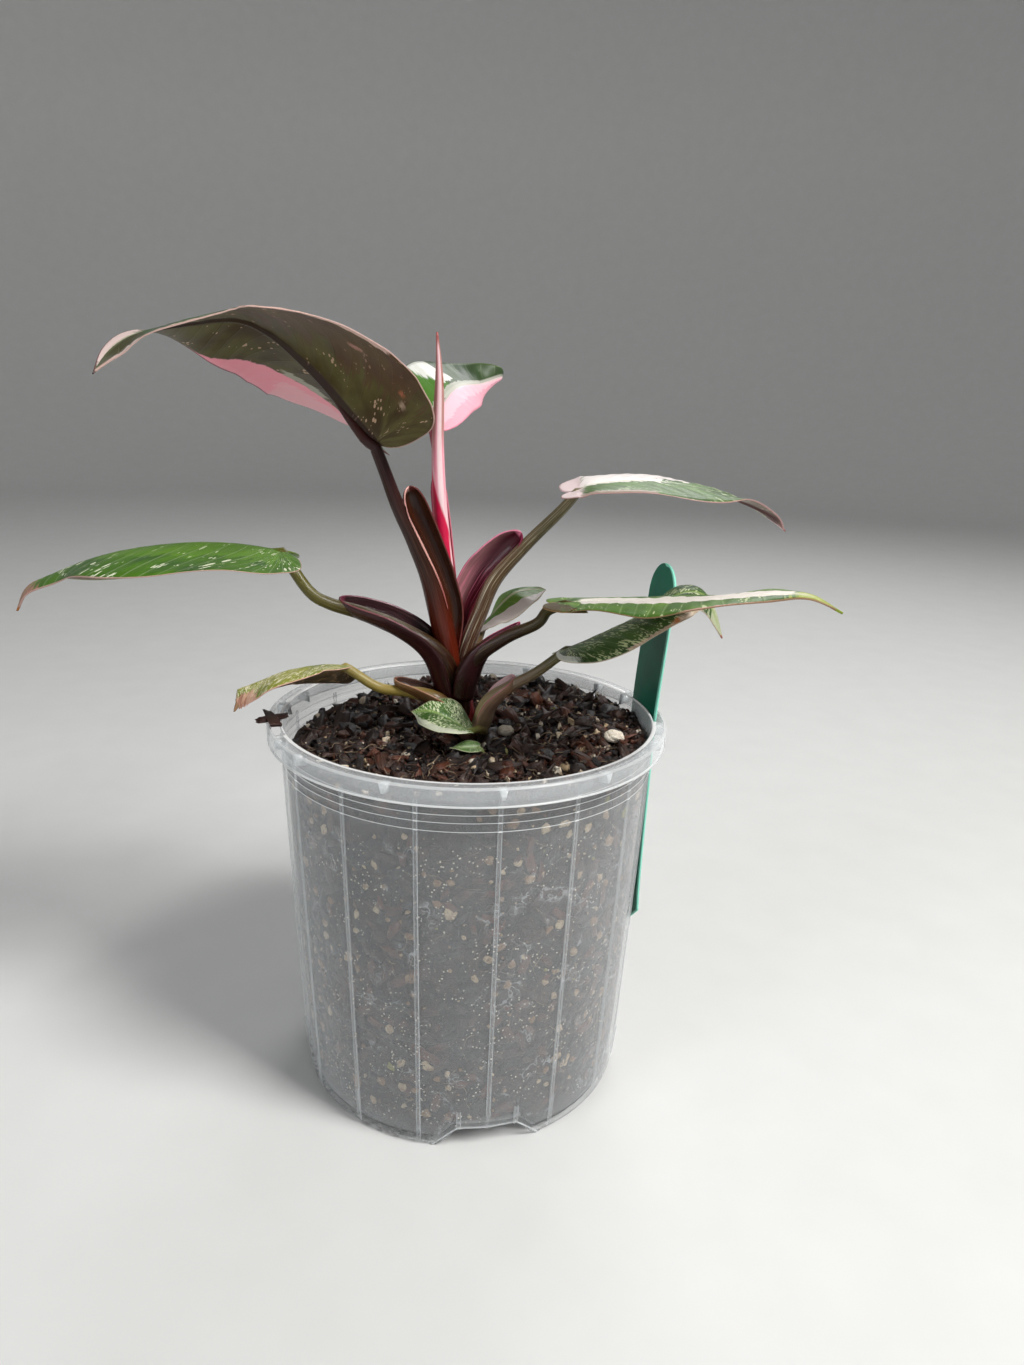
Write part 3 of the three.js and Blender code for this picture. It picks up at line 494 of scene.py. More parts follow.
@dataclass(frozen=True)
class LeafSkin:
    """The waxy skin of one leaf's blade, with its own marbling.

    flecks: how many and how large the pale dashes are; rims: the margin's right and left half.
    """

    green: str = "4d7038"
    shadow: str = "2c4a24"
    below: str = "5a4a30"
    below_shadow: str = "3c3020"
    fleck: str = "c9d3a8"
    flecks: float = 0.5
    below_fleck: str = "a58a66"
    rims: tuple[str, str] = ("c98f8a", "c98f8a")
    rim_mm: float = 0.45
    midrib: str = "8fa070"
    below_midrib: str = "4a1f22"
    tip: str = "6b4030"
    tip_from: float = 0.965
    patches: tuple[Patch, ...] = ()
    vein_mm: float = 4.6
    gloss: float = 0.4
    long: float = 1.0

    def build(self, name: str) -> Skin:
        """Makes a material of that name, which reads the blade's own attributes."""
        s = Shade(name)
        u, v, w = s.attribute("blade_mm")
        share_u, share_v, under = s.attribute("blade_share")
        edge, _, _ = s.attribute("blade_edge")
        width = abs(v)
        side = share_v.ramp(-0.01, 0.01)
        cloud = s.noise(s.join(w * 0.09, v * 0.09, side), 1.0, 3.0).ramp(0.3, 0.7)
        marbling = s.noise(s.join(w * 0.42, width * 0.11, side * 9.0), 1.0, 4.0, 0.6)
        s.colour = s.mix(cloud, self.shadow, self.green)
        s.shade(0.72 + marbling * 0.56)
        phase = (w / self.vein_mm).fraction()
        vein = abs(phase - 0.5).ramp(0.42, 0.5) * width.ramp(0.5, 2.0)
        s.over(vein * 0.16, self.fleck)
        for pitch, stretch, seed in ((0.33, 3.4, 3.0), (0.17, 2.4, 8.0)):
            dash = self.dashes(s, w, v, side, pitch * self.vein_mm, stretch * self.long, seed)
            s.over(dash * 0.85, self.fleck)
        below = s.mix(cloud, self.below_shadow, self.below)
        below = s.tint(below, 0.75 + marbling * 0.5)
        spots = self.dashes(s, w, v, side, 1.0, 1.9, 5.0)
        below = s.mix(spots * 0.8, below, self.below_fleck)
        s.over(under, below)
        for patch in self.patches:
            s.over(self.cover(s, patch, share_u, share_v, w, width), patch.colour)
        rib = width.ramp(0.9, 0.35) * share_u.ramp(0.98, 0.8)
        s.over(rib * 0.7 * (1.0 - under), self.midrib)
        below_rib = width.ramp(1.9, 1.2) * under * share_u.ramp(1.0, 0.9)
        s.over(below_rib * 0.85, self.below_midrib)
        rim = edge.ramp(self.rim_mm, 0.35 * self.rim_mm)
        s.over(rim * 0.85, s.mix(side, self.rims[1], self.rims[0]))
        tip = (share_u + (marbling - 0.5) * 0.06).ramp(self.tip_from, self.tip_from + 0.012)
        s.over(tip, self.tip)
        pores = s.noise(s.join(u * 3.0, v * 3.0, under), 1.0, 2.0)
        height = 0.5 + (pores - 0.5) * 0.3 + vein * 0.25 + marbling * 0.4
        rough = 0.36 + (cloud - 0.5) * 0.08 + tip * 0.3 + under * 0.08
        return s.finish(rough, height, 0.16, Specular_IOR_Level=self.gloss)

    def dashes(self, s: Shade, w: Expr, v: Expr, side: Expr, pitch_mm: float, stretch: float,
               seed: float) -> Expr:
        """Dashes along the side veins, in loose groups.

        Args:
            s: the material under construction.
            w: distance along the margin in millimetres.
            v: distance from the midrib in millimetres, with its sign.
            side: 1 on the right half and 0 on the left.
            pitch_mm: how far apart they lie.
            stretch: how long they are for their width.
            seed: another number gives other dashes.

        Returns:
            An expression between 0 and 1.
        """
        grid = s.join(w / pitch_mm, abs(v) / (pitch_mm * stretch), side * 7.0 + seed)
        group = s.noise(s.join(w * 0.16, v * 0.16, seed), 1.0, 2.0)
        size = group.ramp(0.66 - 0.36 * self.flecks, 0.92 - 0.3 * self.flecks) * 0.42
        return (s.cells(grid, 1.0) - size).ramp(0.03, -0.05)

    @staticmethod
    def cover(s: Shade, patch: Patch, share_u: Expr, share_v: Expr, w: Expr, width: Expr) -> Expr:
        """How fully a patch covers each place.

        Args:
            s: the material under construction.
            patch: the patch.
            share_u: share of the length.
            share_v: share of the half width, with its sign.
            w: distance along the margin in millimetres.
            width: distance from the midrib in millimetres.

        Returns:
            An expression between 0 and 1.
        """
        streak = s.noise(s.join(w * 0.55, width * 0.06, patch.seed), 1.0, 4.0, 0.65) - 0.5
        stray = streak * 2.0 * patch.ragged
        if patch.slant:
            stray = stray - share_u * patch.slant
        across = (share_v + stray).band(*patch.across, 0.012)
        reach = (share_u + streak * 0.8 * patch.ragged).band(*patch.along, 0.012)
        return across * reach * patch.share


@dataclass(frozen=True)
class StalkSkin:
    """The smooth skin of a leaf stalk, which changes from its foot to the blade.

    line, lines: the colour and strength of its pale streaks; rib: what it is under the blade.
    """

    foot: str = "3a1618"
    middle: str = "4b2a22"
    head: str = "5d4a30"
    line: str = "a7697a"
    lines: float = 0.25
    rib: str = "3a2018"

    def build(self, name: str) -> Skin:
        """Makes a material of that name, which reads the stalk's length and turn."""
        s = Shade(name)
        t, turn, way = s.attribute("stalk")
        s.colour = s.mix(t.ramp(0.1, 0.55), self.foot, self.middle)
        s.over(t.ramp(0.55, 0.95), self.head)
        fibre = s.noise(s.join(turn * 26.0, t * 3.0, way.ramp(0.4, 0.6) * 3.0), 1.0, 4.0, 0.6)
        s.shade(0.55 + fibre * 0.9)
        s.over(fibre.ramp(0.54, 0.68) * self.lines, self.line)
        patch = s.noise(s.join(turn * 5.0, t * 9.0, 4.0), 1.0, 3.0)
        s.shade(0.75 + patch * 0.5)
        s.over(t.ramp(0.99, 1.05), self.rib)
        return s.finish(0.3 + (fibre - 0.5) * 0.2, fibre, 0.16, Specular_IOR_Level=0.25,
                        Coat_Weight=0.12, Coat_Roughness=0.14)


@dataclass(frozen=True)
class SheathSkin:
    """The glossy skin of a sheath, striped along its length.

    foot, back, tip: its outside from the crown up. hollow, deep: its inside at the left and
    the right margin. left, right: what its margins are edged with, from rim_from upwards.
    """

    foot: str = "30100f"
    back: str = "451a20"
    tip: str = "5a2a34"
    hollow: str = "7a2b45"
    deep: str = "4a1a26"
    left: str = "8a3a50"
    right: str = "8a3a50"
    rim_from: float = 0.6
    rim: float = 0.7
    bead: bool = False
    streaks: float = 0.25

    def build(self, name: str) -> Skin:
        """Makes a material of that name, which reads the sheath's length and turn."""
        s = Shade(name)
        t, turn, inside = s.attribute("sheath")
        s.colour = s.mix(t.ramp(0.0, 0.5), self.foot, self.back)
        s.over(t.ramp(0.5, 1.0), self.tip)
        fibre = s.noise(s.join(turn * 12.0, t * 1.4, 2.0), 1.0, 5.0, 0.7)
        hollow = s.mix((turn + fibre * 0.4 + t * 0.9).ramp(-0.05, 0.55), self.hollow, self.deep)
        s.over(inside * t.ramp(0.02, 0.22), hollow)
        s.shade(0.2 + fibre * 1.6)
        s.over(inside * fibre.ramp(0.50, 0.62) * t.ramp(0.8, 0.5) * self.streaks, self.left)
        blotch = s.noise(s.join(turn * 2.5, t * 3.0, 6.0), 1.0, 3.0)
        s.shade(0.7 + blotch * 0.6)
        edge = abs(turn).ramp(0.955, 0.985) * t.ramp(self.rim_from - 0.25, self.rim_from)
        edge = edge.higher(t.ramp(0.965, 0.985)) * self.rim
        s.over(edge, s.mix(turn.ramp(-0.1, 0.1), self.left, self.right))
        return s.finish(0.24 + (fibre - 0.5) * 0.2, fibre, 0.2, Specular_IOR_Level=0.25,
                        Coat_Weight=0.2, Coat_Roughness=0.1)


# ---- leaves


@dataclass(frozen=True)
class LeafForm:
    """The shape of one leaf, in millimetres and degrees, as the solid of the same name has it.

    stalk, sheath: points from the crown outwards, with radii or half widths at even steps.
    opens: where the hollow side of the sheath looks.
    midrib: points from the stalk to the tip; across: where the right half of the blade lies.
    width: the widest of the right and the left half. roll turns the blade about its midrib.
    fold lifts each half out of flat and curl bends it further, in degrees per 10 mm: each has
    one list for the right half and one for the left.
    """

    name: str
    stalk: tuple[Point, ...]
    stalk_radii: tuple[float, ...]
    midrib: tuple[Point, ...]
    across: Point
    width: tuple[float, float]
    fold: tuple[tuple[float, ...], tuple[float, ...]]
    curl: tuple[tuple[float, ...], tuple[float, ...]]
    roll: tuple[float, ...] = (0.0,)
    blunt: float = 0.0
    notch: float = 0.0
    sheath: tuple[Point, ...] = ()
    sheath_widths: tuple[float, ...] = ()
    opens: Point = (0.0, 0.0, 1.0)
    wave_mm: float = 0.5
    torn: float = 0.0


@dataclass
class Blade:
    """A heart-shaped blade: a thin closed shell whose rows of faces run along the side veins."""

    form: LeafForm
    thickness_mm: float = 0.55
    back: float = 0.07
    belly: float = 0.3
    vein_slope: float = 0.6
    rows: tuple[int, int, int] = (14, 26, 58)
    columns: int = 16
    vein_relief_mm: float = 0.09
    vein_pitch_mm: float = 4.6
    rib_mm: float = 1.25

    def outline(self, length: float, width: float) -> Array:
        """Half the blade's outline, from the stalk round the lobe to the tip.

        Args:
            length: the midrib's length.
            width: the widest distance from the midrib.

        Returns:
            An (n, 2) array of distances along and out from the midrib.
        """
        back, belly, blunt = -self.back * length, self.belly * length, self.form.blunt * width
        curves = (
            ((0.3 * back, 0.04 * width), (back, 0.12 * width), (back, 0.3 * width), (back, 0.42 * width)),
            ((back, 0.42 * width), (back, 0.8 * width), (0.35 * belly, width), (belly, width)),
            ((belly, width), (belly + 0.3 * length, width),
             (0.72 * length, 0.24 * width + blunt), (length, blunt)),
        )
        parts = []
        for corners, count in zip(curves, self.rows):
            p = np.asarray(corners)
            t = np.linspace(0, 1, count + 1)[:, None]
            bend = ((1 - t) ** 3 * p[0] + 3 * t * (1 - t) ** 2 * p[1]
                    + 3 * t**2 * (1 - t) * p[2] + t**3 * p[3])
            parts.append(bend if not parts else bend[1:])
        return np.vstack(parts)

    def bend(self, path: Path, u: Array, v: Array, half: Half) -> Array:
        """Places in space of points of the flat blade.

        Args:
            path: the midrib.
            u: distances along the midrib.
            v: distances out from it.
            half: which half of the blade they are on.

        Returns:
            An (n, 3) array in millimetres.
        """
        form = self.form
        share = np.clip(u / path.length, 0, 1)
        tangent, side, normal = path.frame(share, form.across)
        number = 0 if half is Half.RIGHT else 1
        roll = np.radians(eased(form.roll, share))[:, None]
        out = side * np.cos(roll) + normal * np.sin(roll)
        up = normal * np.cos(roll) - side * np.sin(roll)
        start = np.radians(eased(form.fold[number], share))
        turn = np.radians(eased(form.curl[number], share)) / 10 + 1e-6
        spread = (np.sin(start + turn * v) - np.sin(start)) / turn
        lift = (np.cos(start) - np.cos(start + turn * v)) / turn
        place = path.at(share) + tangent * np.minimum(u, 0)[:, None]
        return place + out * (half.value * spread)[:, None] + up * lift[:, None]

    def sheet(self) -> tuple[Array, Array, Array]:
        """The blade without thickness.

        Returns:
            Points, quads (a triangle repeats its last corner) and, for each point, the distance
            along and out from the midrib, the distance along the margin, the share of the
            length, the signed share of the half width and the distance from the margin.
        """
        form = self.form
        path = Path(form.midrib)
        length = path.length
        last = length * (1 - form.notch)
        mean = self.outline(length, (form.width[0] + form.width[1]) / 2)
        roots = np.clip(mean[:, 0] - self.vein_slope * mean[:, 1], 0, last)
        roots[-1] = last
        out = np.linspace(0, 1, self.columns + 1) ** 1.6
        count = len(mean)
        points, facts, keys = [], [], []
        for number, half in enumerate((Half.RIGHT, Half.LEFT)):
            edge = self.outline(length, form.width[number])
            if form.torn:
                ragged = np.sin(np.arange(count) * 1.9 + number) + np.sin(np.arange(count) * 3.7)
                near_tip = np.clip((edge[:, 0] / length - 0.8) / 0.2, 0, 1)
                edge = edge + (ragged * near_tip * form.torn)[:, None] * np.array([0.5, 0.4])
                edge[:, 1] = np.maximum(edge[:, 1], 0.0)
            margin = np.concatenate([[0], np.cumsum(np.linalg.norm(np.diff(edge, axis=0), axis=1))])
            u = roots[:, None] + (edge[:, :1] - roots[:, None]) * out ** 1.15
            v = edge[:, 1:] * out
            signed = v * half.value
            place = self.bend(path, u.ravel(), v.ravel(), half)
            points.append(place)
            rest = [np.broadcast_to(x, u.shape) for x in (
                u, signed, margin[:, None], u / length, out[None, :] * half.value,
                edge[:, 1:] * (1 - out))]
            facts.append(np.stack([r.ravel() for r in rest], axis=1))
            keys.append(np.round(np.stack([u.ravel(), signed.ravel()], axis=1), 4))
        key = np.vstack(keys)
        _, first, where = np.unique(key, axis=0, return_index=True, return_inverse=True)
        where = where.ravel()
        grid = where.reshape(2, count, self.columns + 1)
        quads = []
        for number in range(2):
            g = grid[number]
            around = [g[:-1, :-1], g[:-1, 1:], g[1:, 1:], g[1:, :-1]]
            if number:
                around = around[::-1]
            quads.append(np.stack([a.ravel() for a in around], axis=1))
        return np.vstack(points)[first], np.vstack(quads), np.vstack(facts)[first]

    def under(self, radius: float, reach: float) -> tuple[Array, Array]:
        """Where the stalk goes on as the rib under the blade.

        Args:
            radius: the stalk's radius at its end.
            reach: how far it goes, as a share of the blade's length.

        Returns:
            Places and radii, thinning out into the rib.
        """
        path = Path(self.form.midrib)
        share = np.linspace(0.015, reach, 12)
        radii = 0.12 + (radius - 0.12) * (1 - share / reach) ** 0.8
        below = -0.85 * radii * np.clip(share / 0.03, 0.75, 1) - 0.1
        _, side, normal = path.frame(share, self.form.across)
        roll = np.radians(eased(self.form.roll, share))[:, None]
        up = normal * np.cos(roll) - side * np.sin(roll)
        return path.at(share) + up * below[:, None], radii

    def relief(self, facts: Array) -> tuple[Array, Array]:
        """How far the upper and the lower face stand off the sheet.

        Args:
            facts: what sheet says of each point.

        Returns:
            Two arrays in millimetres.
        """
        u, v, w, share_u, share_v, edge = facts.T
        out = np.abs(share_v)
        thin = self.thickness_mm / 2 * (1 - 0.65 * out**10)
        width = np.abs(v)
        phase = np.cos(2 * np.pi * w / self.vein_pitch_mm)
        fade = np.clip(width / 3, 0, 1) * np.clip(edge / 2.5, 0, 1) * np.clip((1 - share_u) / 0.15, 0, 1)
        veins = self.vein_relief_mm * phase * fade * np.clip(share_u / 0.12 - 0.2, 0, 1)
        wave = self.form.wave_mm * out**3 * np.sin(w / 5.2 + 0.6 * np.sign(share_v)) * np.clip(
            (1 - share_u) / 0.2, 0, 1)
        thick = self.rib_mm * np.clip(1.02 - share_u, 0, 1) ** 0.7
        ridge = thick * np.sqrt(np.clip(1 - (width / np.maximum(thick, 1e-3)) ** 2, 0, 1))
        groove = 0.3 * np.exp(-((width / 0.7) ** 2)) * np.clip((1 - share_u) / 0.2, 0, 1)
        upper = thin + wave - veins - groove
        lower = thin - wave + veins + ridge * np.clip(share_u / 0.01 + 1, 0, 1)
        return upper, lower

    def build(self) -> Piece:
        """Makes the blade.

        Returns:
            The blade as one closed mesh.
        """
        points, quads, facts = self.sheet()
        upper, lower = self.relief(facts)
        count = len(points)
        piece = closed_shell(f"{self.form.name}_blade", points, quads, upper, lower)
        twice = np.vstack([facts, facts])
        under = np.repeat([0.0, 1.0], count)
        set_attribute(piece, "blade_mm", twice[:, [0, 1, 2]])
        set_attribute(piece, "blade_share", np.column_stack([twice[:, 3], twice[:, 4], under]))
        set_attribute(piece, "blade_edge", np.column_stack([twice[:, 5], under, under]))
        return piece


@dataclass
class Stalk:
    """A round stalk along a path, with closed ends.

    run: places and radii of further rings past its end, where it goes on under a blade.
    """

    name: str
    points: tuple[Point, ...]
    radii: tuple[float, ...]
    sides: int = 20
    steps: int = 60
    wobble: float = 0.04
    overlap: float = 0.0
    run: tuple[Array, Array] | None = None

    def build(self) -> Piece:
        """Makes the stalk.

        Returns:
            The stalk as one closed mesh; overlap gives it the step of a rolled leaf's free edge.
        """
        share = np.linspace(0, 1, self.steps + 1)
        centre, radius = Path(self.points).at(share), eased(self.radii, share)
        if self.run:
            share = np.concatenate([share, 1 + np.linspace(0, 0.2, len(self.run[1]) + 1)[1:]])
            centre, radius = np.vstack([centre, self.run[0]]), np.concatenate([radius, self.run[1]])
        tangent = np.gradient(centre, axis=0)
        tangent = tangent / np.linalg.norm(tangent, axis=1, keepdims=True)
        side, across = np.empty_like(centre), np.array([0.35, 1.0, 0.2])
        for k, ahead in enumerate(tangent):
            across = across - ahead * (ahead @ across)
            across = across / np.linalg.norm(across)
            side[k] = across
        normal = np.cross(side, tangent)
        turn = np.linspace(0, 1, self.sides, endpoint=False)
        angle = 2 * np.pi * turn + 0.8 * share[:, None] * (1 if self.overlap else 0)
        swell = 1 + self.wobble * np.sin(7 * np.pi * share)[:, None] * np.cos(angle)
        swell = swell + self.overlap * (turn - 0.5)
        rings = (centre[:, None] + side[:, None] * (radius[:, None] * swell * np.cos(angle))[..., None]
                 + normal[:, None] * (radius[:, None] * swell * np.sin(angle))[..., None])
        points = np.vstack([rings.reshape(-1, 3), centre[:1], centre[-1:]])
        faces: list[tuple[int, ...]] = []
        for i in range(len(centre) - 1):
            for k in range(self.sides):
                a, b = i * self.sides + k, i * self.sides + (k + 1) % self.sides
                faces.append((b, a, a + self.sides, b + self.sides))
        foot, head, last = len(points) - 2, len(points) - 1, (len(centre) - 1) * self.sides
        for k in range(self.sides):
            n = (k + 1) % self.sides
            faces.append((foot, k, n))
            faces.append((head, last + n, last + k))
        piece = new_piece(self.name, points * MM, faces)
        fold = 1 - np.abs(2 * turn - 1)
        facts = np.stack(np.broadcast_arrays(share[:, None], fold[None], turn[None]), axis=-1)
        ends = np.array([[0, 0.5, 0.5], [share[-1], 0.5, 0.5]])
        set_attribute(piece, "stalk", np.vstack([facts.reshape(-1, 3), ends]))
        return piece


@dataclass
class Sheath:
    """A boat-shaped sheath: a sheet bent round its spine, open on one side, round at its tip."""

    form: LeafForm
    thickness_mm: float = 0.85
    half_angle: float = 96.0
    crowding: float = 0.75
    round_from: float = 0.86
    roundness: float = 0.985
    rows: int = 56
    columns: int = 26

    def sheet(self) -> tuple[Array, Array, Array]:
        """The sheath's middle surface: points row by row, and the share of length and turn of each."""
        path = Path(self.form.sheath)
        share = np.linspace(0, 1, self.rows + 1) ** self.crowding
        tangent = path.tangent(share)
        opens = np.asarray(self.form.opens) / np.linalg.norm(self.form.opens)
        up = opens - tangent * (tangent @ opens)[:, None]
        up = up / np.linalg.norm(up, axis=1, keepdims=True)
        side = np.cross(tangent, up)
        past = np.clip((share - self.round_from) / (1 - self.round_from), 0, 1)
        radius = eased(self.form.sheath_widths, share) * np.sqrt(1 - self.roundness * past**2)
        out = np.linspace(-1, 1, self.columns + 1)
        angle = np.radians(self.half_angle) * out
        flare = 1 + 0.10 * np.abs(out[None, :]) ** 5 * np.sin(np.pi * share)[:, None]
        reach = radius[:, None] * flare
        points = (path.at(share)[:, None] + side[:, None] * (reach * np.sin(angle))[..., None]
                  - up[:, None] * (reach * np.cos(angle))[..., None]).reshape(-1, 3)
        t, o = (x.ravel() for x in np.meshgrid(share, out, indexing="ij"))
        return points, t, o

    def build(self) -> Piece:
        """Makes the sheath.

        Returns:
            The sheath as one closed mesh, thin at its margins.
        """
        points, t, o = self.sheet()
        near_edge = np.maximum(np.abs(o) ** 8, np.clip((t - 0.9) / 0.1, 0, 1) ** 3)
        half = self.thickness_mm / 2 * (1 - 0.6 * near_edge)
        quads = grid_quads(self.rows, self.columns)
        piece = closed_shell(f"{self.form.name}_sheath", points, quads, half, half)
        facts = np.column_stack([np.tile(t, 2), np.tile(o, 2), np.repeat([1.0, 0.0], len(points))])
        set_attribute(piece, "sheath", facts)
        return piece

    def bead(self) -> Stalk:
        """The pale free edge along its left margin, laid over the stalk."""
        line = self.sheet()[0].reshape(self.rows + 1, -1, 3)[10:-4:6, 0]
        line = line + np.asarray(self.form.opens) * 0.75 + (-0.1, -0.25, 0)
        radii = (0.12, 0.3, 0.34, 0.26, 0.1)
        return Stalk(f"{self.form.name}_bead", tuple(map(tuple, line)), radii, sides=8)


@dataclass
class Leaf:
    """One leaf: blade, stalk and sheath, each with its own finish."""

    form: LeafForm
    skin: LeafSkin
    stalk_skin: StalkSkin
    sheath_skin: SheathSkin | None = None
    slot: str = "leaf_green"

    def build(self) -> None:
        """Makes the leaf's pieces and puts them in place of its solid."""
        name, form = self.form.name, self.form
        own = name.removeprefix("leaf_")
        small = not form.sheath
        fine = {"rows": (10, 16, 30), "columns": 9, "rib_mm": 0.5, "thickness_mm": 0.45} if small else {}
        blade = Blade(form, **fine)
        adopt(blade.build(), self.skin.build(f"{own}_skin"), self.slot, name)
        run = blade.under(form.stalk_radii[-1], 0.12 if small else 0.24)
        stalk = Stalk(f"{name}_stalk", form.stalk, form.stalk_radii, run=run)
        adopt(stalk.build(), self.stalk_skin.build(f"{own}_stalk_skin"), "stalk", name)
        if self.sheath_skin:
            sheath = Sheath(form)
            adopt(sheath.build(), self.sheath_skin.build(f"{own}_sheath_skin"), "stalk", name)
            if self.sheath_skin.bead:
                pale = StalkSkin("b0605a", "eeb0a4", "d89a94", "f6d8cc", 0.4)
                adopt(sheath.bead().build(), pale.build(f"{name}_bead_skin"), "stalk", name)


# ---- the plant


